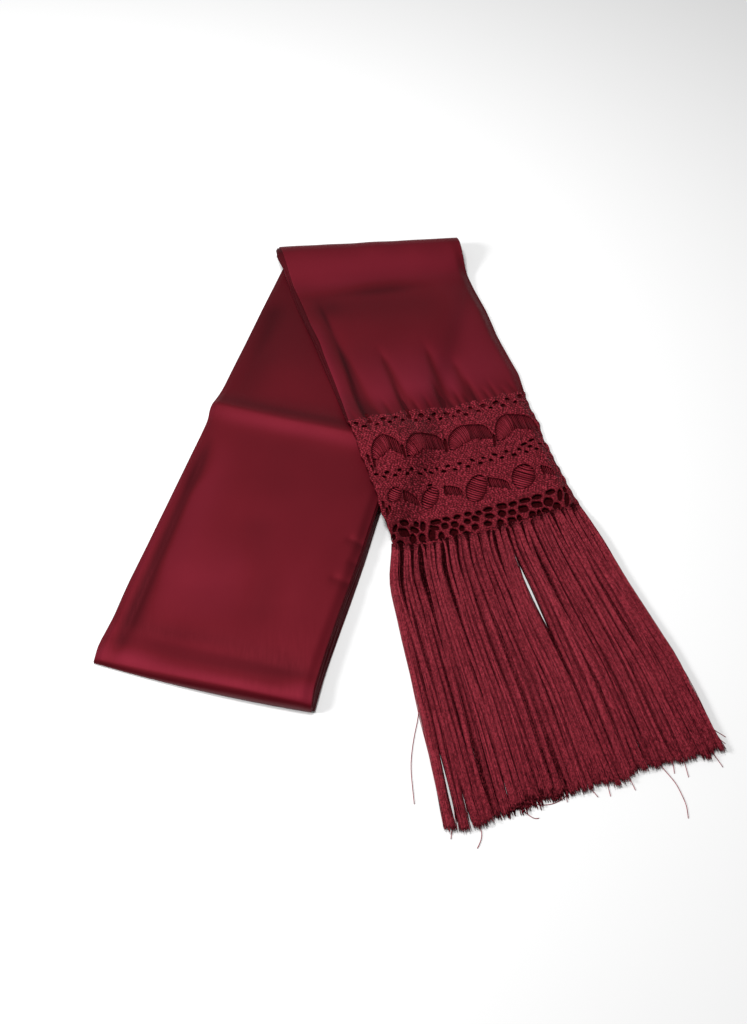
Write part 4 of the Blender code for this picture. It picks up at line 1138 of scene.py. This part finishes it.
def build_lace_under(material):
    """The folded lace that lies beneath, with painted shade so that it shows dark through every opening."""
    share, drop = np.meshgrid(np.linspace(UNDER_INSET, 1.0 - UNDER_INSET, UNDER_COLUMNS),
                              np.arange(UNDER_START, LACE_DEEP + UNDER_REACH, UNDER_STEP))
    across = share * LACE_WIDTH
    ragged = 1.2 * np.sin(across / 3.1) + 0.8 * np.sin(across / 1.7 + 2.0)
    keep_point = drop < LACE_LENGTH + UNDER_REACH - 2.5 + ragged
    for chink in CHINKS:
        keep_point &= opening_distance(chink, across, drop) > 0.0
    keep = keep_point[:-1, :-1] & keep_point[1:, :-1] & keep_point[1:, 1:] & keep_point[:-1, 1:]
    sides = (share == share[0, 0]) | (share == share[0, -1]) | (drop == drop[0, 0])
    on_rim = rim_points(keep, sides)
    across, station, height = lace_top(share, drop)
    floor = height_over(DRAPE, across, station) + GAP
    inside = ~on_rim * ease((0.5 - np.abs(share - 0.5)) * LACE_WIDTH / 2.0)
    top = lerp(floor + 1.2, np.maximum(height - UNDER_DEPTH, floor + 1.6), inside)
    bottom = np.where(on_rim, top, floor)
    sheet = closed_sheet(RIGHT_LEG.points(across, station, top), RIGHT_LEG.points(across, station, bottom),
                         keep, on_rim)
    points, faces, ends, source = sheet[:4]
    # painted shade, deeper below the net
    tone = 1.0 - NET_PAINTED_SHADE * ease((drop - NET_DROP + 4.0) / 6.0)
    piece = add_mesh("lace_under", points, [faces], material, tone.ravel()[source], flat=ends)
    dress(piece, "lace", "right_folds")


def arch_threads(arch, draw):
    """An arch's threads, from its outline in to the ground: (shares, drops, radii, lifts, tones)."""
    start, peak, end = (LACE_WIDTH * share for share in (arch.start, arch.peak, arch.end))
    wide, high = peak - start, arch.foot - arch.top
    fans = int(0.8 * (wide + high) / FAN_PITCH * (wide > FAN_LEAST))
    rest = int((end - peak) / THREAD_PITCH)
    way = np.linspace(0.06, 0.98, fans)
    angle = way * math.pi / 2.0
    right_way = (np.arange(rest) + 0.5) / rest
    shoulder = high * (1.0 - right_way ** RIGHT_POWER) ** (1.0 / RIGHT_POWER)
    fall = arch.fall * right_way
    along = peak + right_way * (end - peak)
    top_across = np.concatenate([peak - wide * np.cos(angle), along])
    top_drop = np.concatenate([arch.foot - high * np.sin(angle), arch.foot + fall - shoulder])
    foot_across = np.concatenate([start + wide * lerp(FAN_TIP, 1.0, way), along - 0.5])
    foot_drop = np.concatenate([arch.foot - (high - arch.thick) * way ** FAN_POWER,
                                arch.top + arch.thick + fall])
    count = fans + rest
    foot_drop = np.maximum(foot_drop + draw.normal(0.8, 0.7, count), top_drop + 1.5)
    foot_across = foot_across + draw.normal(0.2, 0.3, count)
    down = np.linspace(0.0, 1.0, THREAD_POINTS)
    fan = np.concatenate([np.ones(fans), np.zeros(rest)])
    bow = 1.1 * fan[:, None] * np.sin(math.pi * down)
    across = lerp(top_across[:, None], foot_across[:, None], down) + bow
    drop = lerp(top_drop[:, None] - 0.5, foot_drop[:, None], down) - 0.5 * bow
    radius, lift, tone = (lerp(rest_value, fan_value, fan)
                          for rest_value, fan_value in zip(REST_LOOK, FAN_LOOK))
    return across / LACE_WIDTH, drop, radius, lift, tone + draw.uniform(-0.16, 0.16, count)


def oval_threads(oval, draw):
    """The short threads across an oval, in the same terms."""
    ways = (np.arange(oval.threads) + 0.5) / oval.threads * 2.0 - 1.0
    reach = oval.half_across * np.sqrt(1.0 - ways ** 2) + 0.5
    over = np.linspace(-1.0, 1.0, THREAD_POINTS)
    short_way = reach[:, None] * over + 0.5
    sag = draw.normal(0.5, 0.3, (oval.threads, 1)) * (1.0 - over ** 2)
    long_way = (oval.half_down - 0.6) * ways[:, None] + sag
    angle = math.radians(oval.lean)
    across = short_way * math.cos(angle) - long_way * math.sin(angle)
    down = short_way * math.sin(angle) + long_way * math.cos(angle)
    share = oval.share + across / LACE_WIDTH
    radius = draw.uniform(0.68, 0.92, oval.threads)
    lift = np.full(oval.threads, 0.5)
    tone = draw.uniform(0.42, 0.70, oval.threads)
    return share, oval.drop + down, radius, lift, tone


def build_lace_threads(material):
    """The long threads in the arches and the short ones across the ovals."""
    draw = np.random.default_rng(THREAD_SEED)
    groups = [arch_threads(arch, draw) for arch in ARCHES] + [oval_threads(oval, draw) for oval in OVALS]
    share, drop, radius, lift, tone = (np.concatenate(columns) for columns in zip(*groups))
    paths = RIGHT_LEG.points(*lace_top(share, drop))
    over = np.linspace(0.0, 1.0, THREAD_POINTS)
    paths[..., 2] += lerp(-0.9, 0.15, ease(over * 1.6 - 0.6)) + lift[:, None] * np.sin(math.pi * over)
    radii = np.broadcast_to(radius[:, None], share.shape)
    # painted shadow darkens each thread towards both its ends
    ends = 0.15 + 0.85 * np.sin(math.pi * np.clip(over + 0.04, 0.0, 0.96)) ** 0.5
    dress(tubes("lace_threads", paths, radii, 6, material, tone[:, None] * ends), "lace", "lace_band")


LACE_DARK = (0.026, 0.0014, 0.0024)
LACE_MIDDLE = (0.110, 0.0074, 0.0130)
LACE_BRIGHT = (0.300, 0.0290, 0.0480)
# colours of the painted deep shade on the lace beneath
UNDER_DARK = (0.018, 0.0014, 0.0020)
UNDER_BRIGHT = (0.080, 0.0056, 0.0085)


def lace_material():
    """Twisted silk cord, with painted shade between the knots and a painted highlight on their crowns."""
    nodes = Nodes("lace_silk")
    tone = nodes.attribute("tone")
    plain = nodes.coordinates()
    speckle = nodes.noise(plain, 900.0, 2.0, 0.6)
    mixed = nodes.maths("ADD", tone, nodes.remap(speckle, 0.3, 0.7, -0.14, 0.14))
    colour = nodes.ramp(mixed, [(0.04, LACE_DARK), (0.42, LACE_MIDDLE), (0.95, LACE_BRIGHT)])
    normal = nodes.bump(nodes.wave(plain, 500.0, 4.0, 2.0, "DIAGONAL"), 0.25, 0.0003)
    return nodes.finish(0.42, 0.6, 0.04, Base_Color=colour, Normal=normal)


def under_material():
    """Cord with painted deep shade."""
    nodes = Nodes("lace_painted_shade")
    speckle = nodes.noise(nodes.coordinates(), 500.0, 2.0, 0.6)
    colour = nodes.ramp(speckle, [(0.3, UNDER_DARK), (0.7, UNDER_BRIGHT)])
    return nodes.finish(0.8, 0.1, 0.0, Base_Color=nodes.scaled(colour, nodes.attribute("tone")))


# ---- fringe

# How far the fringe's left and right sides drift across, along its length
FanStep = namedtuple("FanStep", "along left right")
FAN = table(FanStep, [
    (0, 0, 0), (0.05, -7.5, 2.5), (0.13, -14.5, 4), (0.36, -21, 8.5), (0.66, -28, 16), (1.0, -37, 15.5),
])
# Where the upper and the lower locks end, across the width
EndPoint = namedtuple("EndPoint", "share upper lower")
FRINGE_ENDS = table(EndPoint, [
    (0.00, 652, 648), (0.04, 655, 651), (0.10, 658, 654), (0.15, 655, 653),
    (0.24, 650, 653), (0.34, 648, 653), (0.43, 651, 652), (0.47, 653, 648),
    (0.52, 650, 648), (0.58, 655, 650), (0.64, 655, 650), (0.70, 649, 650),
    (0.76, 650, 647), (0.85, 654, 649), (0.94, 654, 649), (1.00, 653, 648),
])
FAN_TRACK = Track(FAN, 0.04)
END_TRACK = Track(FRINGE_ENDS, 0.015)
END_STRAY = 1.8            # how far the locks' ends stray from that line
# Places where the locks part: share, share pressed aside, middle along, spread along, half width, and
# how much of it the lower locks part too
Parting = namedtuple("Parting", "share reach along spread half lower")
PARTINGS = table(Parting, [
    (0.594, 0.070, 0.29, 0.19, 3.1, 0.74), (0.596, 0.040, 0.03, 0.05, 1.5, 0.6),
    (0.037, 0.025, 0.97, 0.24, 2.7, 0.9), (0.074, 0.020, 0.95, 0.20, 3.6, 0.9),
    (0.056, 0.025, 0.17, 0.17, 1.7, 0.0), (0.148, 0.030, 0.07, 0.13, 2.2, 0.0),
    (0.259, 0.030, 0.14, 0.20, 2.2, 0.0), (0.195, 0.015, 0.05, 0.05, 1.2, 0.0),
    (0.352, 0.025, 0.22, 0.22, 1.0, 0.0), (0.519, 0.030, 0.07, 0.12, 2.0, 0.0),
    (0.685, 0.025, 0.25, 0.22, 1.0, 0.0), (0.796, 0.025, 0.32, 0.22, 1.5, 0.0),
    (0.870, 0.020, 0.18, 0.09, 1.5, 0.0), (0.962, 0.020, 0.15, 0.15, 1.4, 0.0),
    (0.296, 0.025, 0.78, 0.15, 1.2, 0.0), (0.481, 0.025, 0.74, 0.13, 1.3, 0.0),
    (0.630, 0.020, 0.82, 0.08, 1.0, 0.0), (0.241, 0.020, 0.54, 0.09, 1.0, 0.0),
    (0.537, 0.020, 0.47, 0.08, 1.0, 0.0), (0.130, 0.015, 0.97, 0.08, 0.8, 0.0),
])
FRINGE_TOP = LACE_START + LACE_LENGTH - 2.0
FRINGE_INSET = 1.2         # of the outer locks' roots from the sides of the lace
THREAD_RINGS = 24
# The two depths of the fringe: pieces, locks, threads in a lock and their radius, height of a lock's middle
# and its half sizes, how far the locks draw together at their roots and sway, how evenly a lock's threads
# spread, tone (lower in the under locks, as painted shade), painted shade at the roots and its reach, seed,
# and which of the two lines the locks end at
FringeDepth = namedtuple("FringeDepth", "names locks threads radius middle half_height half_width "
                                        "bunching sway even tone root_shade shade_reach seed ends")
FRINGE_DEPTHS = table(FringeDepth, [
    (("fringe_under_left", "fringe_under_right"), 112, 8, 0.52, 1.2, 0.7, 1.8,
     0.0, 0.12, 1.0, 0.36, 0.56, 0.40, 3, "lower"),
    (("fringe_left", "fringe_middle", "fringe_right"), 54, 38, 0.36, 2.7, 1.35, 1.85,
     0.46, 1.2, 0.3, 0.37, 0.10, 0.14, 7, "upper"),
])
BUNDLE_LOCKS = 3           # upper locks that hang together from each cord of the net
# A thread is brighter the higher it lies in its lock and darker to the lock's sides, as painted light and
# shade of the lock's round form; it is also darker down its length and at its end; locks and threads also
# differ at random
PAINTED_LIGHT_ABOVE, PAINTED_SHADE_ASIDE, TONE_DOWN, TONE_END = 0.36, 0.15, 0.07, 0.09
LOCK_STRAY, THREAD_STRAY = 0.06, 0.07


def parting_shift(depth, share, along):
    """Sideways step that opens the partings."""
    total = 0.0
    for parting in PARTINGS:
        half = parting.half * (1.0 if depth.ends == "upper" else parting.lower)
        nearness = np.exp(-((share - parting.share) / parting.reach) ** 2)
        opening = np.exp(-((along - parting.along) / parting.spread) ** 2) * ease(along / 0.03)
        total = total + np.copysign(half * nearness * opening, share - parting.share)
    return total


def lock_shares(depth, along, draw):
    """Each lock's share of the width along its length; at the root it draws in to its bundle."""
    number = np.arange(depth.locks)
    free = (number + 0.5 + draw.normal(0.0, 0.12, depth.locks)) / depth.locks
    bundle = (number // BUNDLE_LOCKS) / NET_PITCHES
    pull = depth.bunching * draw.uniform(0.6, 1.3, depth.locks) * (1.05 - 0.3 * free)
    pull = pull[:, None] * (1.0 - 0.5 * ease(along / 0.06) - 0.4 * ease(along / 0.30))
    return np.clip(lerp(free[:, None], bundle[:, None], pull), 0.004, 0.996)


def edge_share(shares):
    """How far in from the fringe's nearer edge each lock ends."""
    return np.minimum(shares[:, -1], 1.0 - shares[:, -1])


def lock_paths(depth, shares, along, draw):
    """Where the middle of each lock runs across, and the station where each ends."""
    last_share = shares[:, -1]
    ends = END_TRACK.at(depth.ends, last_share) + draw.normal(0.0, END_STRAY, depth.locks)
    left, right = RIGHT.edges(FRINGE_TOP)
    across = lerp(left + FRINGE_INSET, right - FRINGE_INSET, shares)
    across = across + lerp(*FAN_TRACK.edges(along), shares)
    across = across + parting_shift(depth, last_share[:, None], along)
    turns = along * draw.uniform(0.6, 1.4, (depth.locks, 1)) + draw.uniform(0.0, 1.0, (depth.locks, 1))
    sway = draw.normal(0.0, depth.sway, (depth.locks, 1)) * np.sin(math.tau * turns) * ease(along / 0.25)
    return across + sway * ease(edge_share(shares) / 0.05)[:, None], ends


def thread_tones(depth, edge, along, aside, above, draw):
    """How bright each thread is along its length, with painted light and shade from where it lies in its
    lock. The locks at the fringe's edges get painted light, and the roots painted shade."""
    lock_tone = draw.normal(0.0, LOCK_STRAY, depth.locks)
    # painted light on the locks at the fringe's edges
    lock_tone = lock_tone + (0.2 + 0.3 * depth.even) * (1.0 - ease(edge / 0.03))
    tone = depth.tone + PAINTED_LIGHT_ABOVE * above - PAINTED_SHADE_ASIDE * aside ** 2 + lock_tone[:, None]
    tone = tone + draw.normal(0.0, THREAD_STRAY, tone.shape)
    # painted shade at the roots
    shade = depth.root_shade * (1.0 - ease(along / depth.shade_reach))
    tone = tone[..., None] - shade - TONE_DOWN * ease(along / 0.7) - TONE_END * ease((along - 0.7) / 0.3)
    return tone.reshape(-1, THREAD_RINGS)


def fringe_threads(depth):
    """All of one depth's threads: their paths, radii and tones."""
    draw = np.random.default_rng(depth.seed)
    along = np.append(np.linspace(0.0, 0.996, THREAD_RINGS - 1) ** 1.15, 1.0)
    shares = lock_shares(depth, along, draw)
    lock_across, lock_end = lock_paths(depth, shares, along, draw)
    shape = (depth.locks, depth.threads)
    spread = (np.arange(depth.threads) + 0.5) / depth.threads * 2.0 - 1.0
    loose = np.sqrt(draw.uniform(0.0, 1.0, shape)) * np.cos(draw.uniform(0.0, math.pi, shape))
    aside = lerp(loose, spread + draw.normal(0.0, 0.05, shape), depth.even)
    above = np.sqrt(np.maximum(1.0 - aside ** 2, 0.0)) * draw.uniform(-0.5, 1.0, shape)
    cycles = along * draw.uniform(0.5, 1.8, shape)[..., None] + draw.uniform(0.0, 1.0, shape)[..., None]
    turn = draw.normal(0.0, 0.4, shape)[..., None] * np.sin(math.tau * cycles) * (1.0 - 0.7 * depth.even)
    curl = draw.normal(0.0, 0.45, shape)[..., None] * ease((along - 0.9) / 0.1)
    end = lock_end[:, None] + draw.normal(0.0, 1.0, shape) + 2.5 * draw.uniform(0.0, 1.0, shape) ** 8
    width = depth.half_width * (0.72 + 0.28 * ease(along / 0.2)) * (1.0 + 0.22 * along)
    width = width * draw.uniform(0.85, 1.15, depth.locks)[:, None]
    across = lock_across[:, None, :] + (aside[..., None] + turn + curl) * width[:, None, :]
    root = FRINGE_TOP + lace_bow(shares[:, :1], LACE_LENGTH)
    station = lerp(root[:, None, :], end[..., None], along)

    floor = height_over(FRINGE_REST, across, station)
    sink = 1.0 - 0.15 * ease((along - 0.92) / 0.08)
    pile = (depth.middle + depth.half_height * (above[..., None] + 0.25 * turn)) * sink
    hang = lace_root_height(across[..., 0]) - floor[..., 0] - pile[..., 0]
    height = floor + pile + hang[..., None] * (1.0 - ease(along / 0.10))
    height = np.maximum(height, depth.radius + 0.1)
    paths = RIGHT_LEG.points(across, station, height).reshape(-1, THREAD_RINGS, 3)
    radii = np.full(paths.shape[:2], depth.radius)
    radii[:, -1] *= 0.8
    return paths, radii, thread_tones(depth, edge_share(shares), along, aside, above, draw)


def lace_root_height(across):
    """Height of the lace's lowest cords, which the threads are tied through."""
    return right_height(across, np.full(across.shape, LACE_START + LACE_LENGTH)) + 0.3


def build_fringe(depth, material, node):
    """One depth of the fringe, in a few pieces side by side."""
    paths, radii, tones = fringe_threads(depth)
    bounds = [number * len(paths) // len(depth.names) for number in range(len(depth.names) + 1)]
    pieces = []
    for name, start, stop in zip(depth.names, bounds, bounds[1:]):
        piece = tubes(name, paths[start:stop], radii[start:stop], 3, material, tones[start:stop])
        pieces.append(dress(piece, "fringe", node))
    return pieces


# Loose threads: (across, station) points that each one runs through
STRAYS = [
    [(-16, 520), (-22, 556), (-34, 577), (-43, 597), (-50, 630)],
    [(-12, 646), (-9, 653), (-8, 662), (-11, 668), (-16, 673)],
    [(-26, 640), (-28, 652), (-32, 661)],
    [(23, 640), (26, 652), (29, 659), (33, 664), (37, 664)],
    [(33, 640), (35, 650), (40, 655), (50, 657), (61, 655), (69, 648)],
    [(80, 640), (81, 650), (85, 662)],
    [(96, 642), (96, 652), (94, 664)],
    [(113, 640), (114, 652), (114, 665)],
    [(139, 640), (141, 653), (146, 668), (146, 686), (142, 697)],
    [(160, 640), (160, 652), (157, 667)],
    [(183, 640), (184, 653), (186, 667)],
    [(189, 620), (192, 634), (200, 645)],
    [(190, 628), (192, 640), (197, 650)],
    [(62, 640), (63, 650), (61, 659)],
    [(-14, 470), (-19, 520), (-24, 560), (-27, 600), (-31, 640)],
    [(150, 640), (151, 652), (148, 661)],
]
STRAY_RADIUS = 0.28        # of a loose thread
STRAY_ROOT = 1.8           # height that they start from
STRAY_TONE = 0.9


def build_strays(material):
    """Loose threads that stand out from the fringe's edge and ends."""
    height = lerp(STRAY_ROOT, STRAY_RADIUS + 0.1, ease(np.linspace(0.0, 1.0, THREAD_RINGS) * 2.5))
    paths = np.array([RIGHT_LEG.points(*curve_through(points, THREAD_RINGS, 1.4), height)
                      for points in STRAYS])
    radii = np.full(paths.shape[:2], STRAY_RADIUS)
    tones = np.full(paths.shape[:2], STRAY_TONE)
    piece = tubes("fringe_strays", paths, radii, 4, material, tones)
    return dress(piece, "fringe", "fringe_under")


FRINGE_DARK = (0.008, 0.0006, 0.0010)
FRINGE_MIDDLE = (0.099, 0.0092, 0.0140)
FRINGE_BRIGHT = (0.25, 0.0300, 0.0440)


def fringe_material(name, rough, gloss, sheen):
    """Crimped silk threads, some brighter than others."""
    nodes = Nodes(name)
    tone = nodes.attribute("tone")
    plain = nodes.coordinates()
    crimp = nodes.noise(plain, 620.0, 2.0, 0.6)
    patch = nodes.noise(plain, 60.0, 2.0)
    mixed = nodes.maths("ADD", tone, nodes.remap(crimp, 0.36, 0.64, -0.40, 0.40))
    mixed = nodes.maths("ADD", mixed, nodes.remap(patch, 0.3, 0.7, -0.06, 0.06))
    colour = nodes.ramp(mixed, [(0.0, FRINGE_DARK), (0.45, FRINGE_MIDDLE), (1.0, FRINGE_BRIGHT)])
    normal = nodes.bump(crimp, 0.3, 0.0004)
    return nodes.finish(rough, gloss, sheen, Base_Color=colour, Normal=normal)


# ---- stage

CAMERA_PLACE = (-0.02146, -0.61446, 0.793)
CAMERA_PITCH = 53.5        # degrees below the horizon
FOCAL_PIXELS = 1100.0      # on the photograph's longer side
FRAME_PIXELS = 1024.0
SENSOR = 36.0
WORLD_STRENGTH = 0.30
FLOOR_REACH = 6.0
FLOOR_COLOUR = (0.9, 0.9, 0.9, 1.0)
# Round lamps that point at the middle of the shawl; one that isn't glossy gives no highlights
Light = namedtuple("Light", "name place size power glossy")
LIGHTS = table(Light, [
    ("key", (-0.32, 0.20, 1.35), 0.45, 14.0, True),
    ("side", (-1.70, -0.25, 0.90), 0.5, 28.0, False),
])


def add_camera():
    data = bpy.data.cameras.new("camera")
    data.sensor_width = SENSOR
    data.lens = SENSOR * FOCAL_PIXELS / FRAME_PIXELS
    bpy.context.scene.camera = add_object(data, CAMERA_PLACE, (math.radians(90.0 - CAMERA_PITCH), 0.0, 0.0))


def add_light(light):
    data = bpy.data.lights.new(light.name, "AREA")
    data.shape = "DISK"
    data.size = light.size
    data.energy = light.power
    x, y, z = light.place
    turn = (math.atan2(math.hypot(x, y), z), 0.0, math.atan2(-y, -x) - 0.5 * math.pi)
    add_object(data, light.place, turn).visible_glossy = light.glossy


def add_floor():
    mesh = bpy.data.meshes.new("floor")
    corners = [(x * FLOOR_REACH, y * FLOOR_REACH, 0.0) for x, y in ((-1, -1), (1, -1), (1, 1), (-1, 1))]
    mesh.from_pydata(corners, [], [(0, 1, 2, 3)])
    mesh.materials.append(Nodes("floor").finish(0.8, 0.0, 0.0, Base_Color=FLOOR_COLOUR))
    add_object(mesh)


def add_world():
    world = bpy.data.worlds.new("studio")
    world.use_nodes = True
    background = world.node_tree.nodes["Background"]
    background.inputs["Color"].default_value = (1.0, 1.0, 1.0, 1.0)
    background.inputs["Strength"].default_value = WORLD_STRENGTH
    bpy.context.scene.world = world


# Flat sizes in metres, of what each sheet shows
Sheet = namedtuple("Sheet", "name width length held rests_on")
SHEETS = table(Sheet, [
    ("left_cloth", 0.184, 0.503, "folded", "left_layers"),
    ("left_layers", 0.184, 0.490, "folded", "floor"),
    ("right_cloth", 0.182, 0.290, "folded", "right_layer_upper"),
    ("right_layer_upper", 0.180, 0.285, "folded", "right_layer_lower"),
    ("right_layer_lower", 0.182, 0.280, "folded", "left_cloth"),
    ("lace_under", 0.175, 0.158, "folded", "left_cloth"),
    ("lace_upper", 0.176, 0.060, "laid", "lace_under"),
    ("lace_lower", 0.176, 0.091, "laid", "lace_under"),
])


def main():
    bpy.context.scene.view_settings.view_transform = "Standard"
    add_camera()
    add_floor()
    add_world()
    for light in LIGHTS:
        add_light(light)
    build_left_layers()
    build_left_cloth()
    # a darker copy of the satin, as painted shade of the folded layers
    folded = cloth_material("satin_right_layers_painted_shade", RIGHT_HEADING, LAYER_PAINTED_SHADE)
    for layer in HIDDEN_LAYERS:
        build_right_layer(layer, folded)
    build_right_cloth()
    lace = lace_material()
    build_lace_under(under_material())
    build_lace(lace)
    build_lace_threads(lace)
    silk = fringe_material("fringe_silk", 0.42, 0.8, 0.04)
    shaded_silk = fringe_material("fringe_shaded_silk", 0.8, 0.12, 0.0)
    hanging = [build_strays(silk)]
    hanging.extend(build_fringe(FRINGE_DEPTHS[0], shaded_silk, "fringe_under"))
    hanging.extend(build_fringe(FRINGE_DEPTHS[1], silk, "fringe_top"))


main()
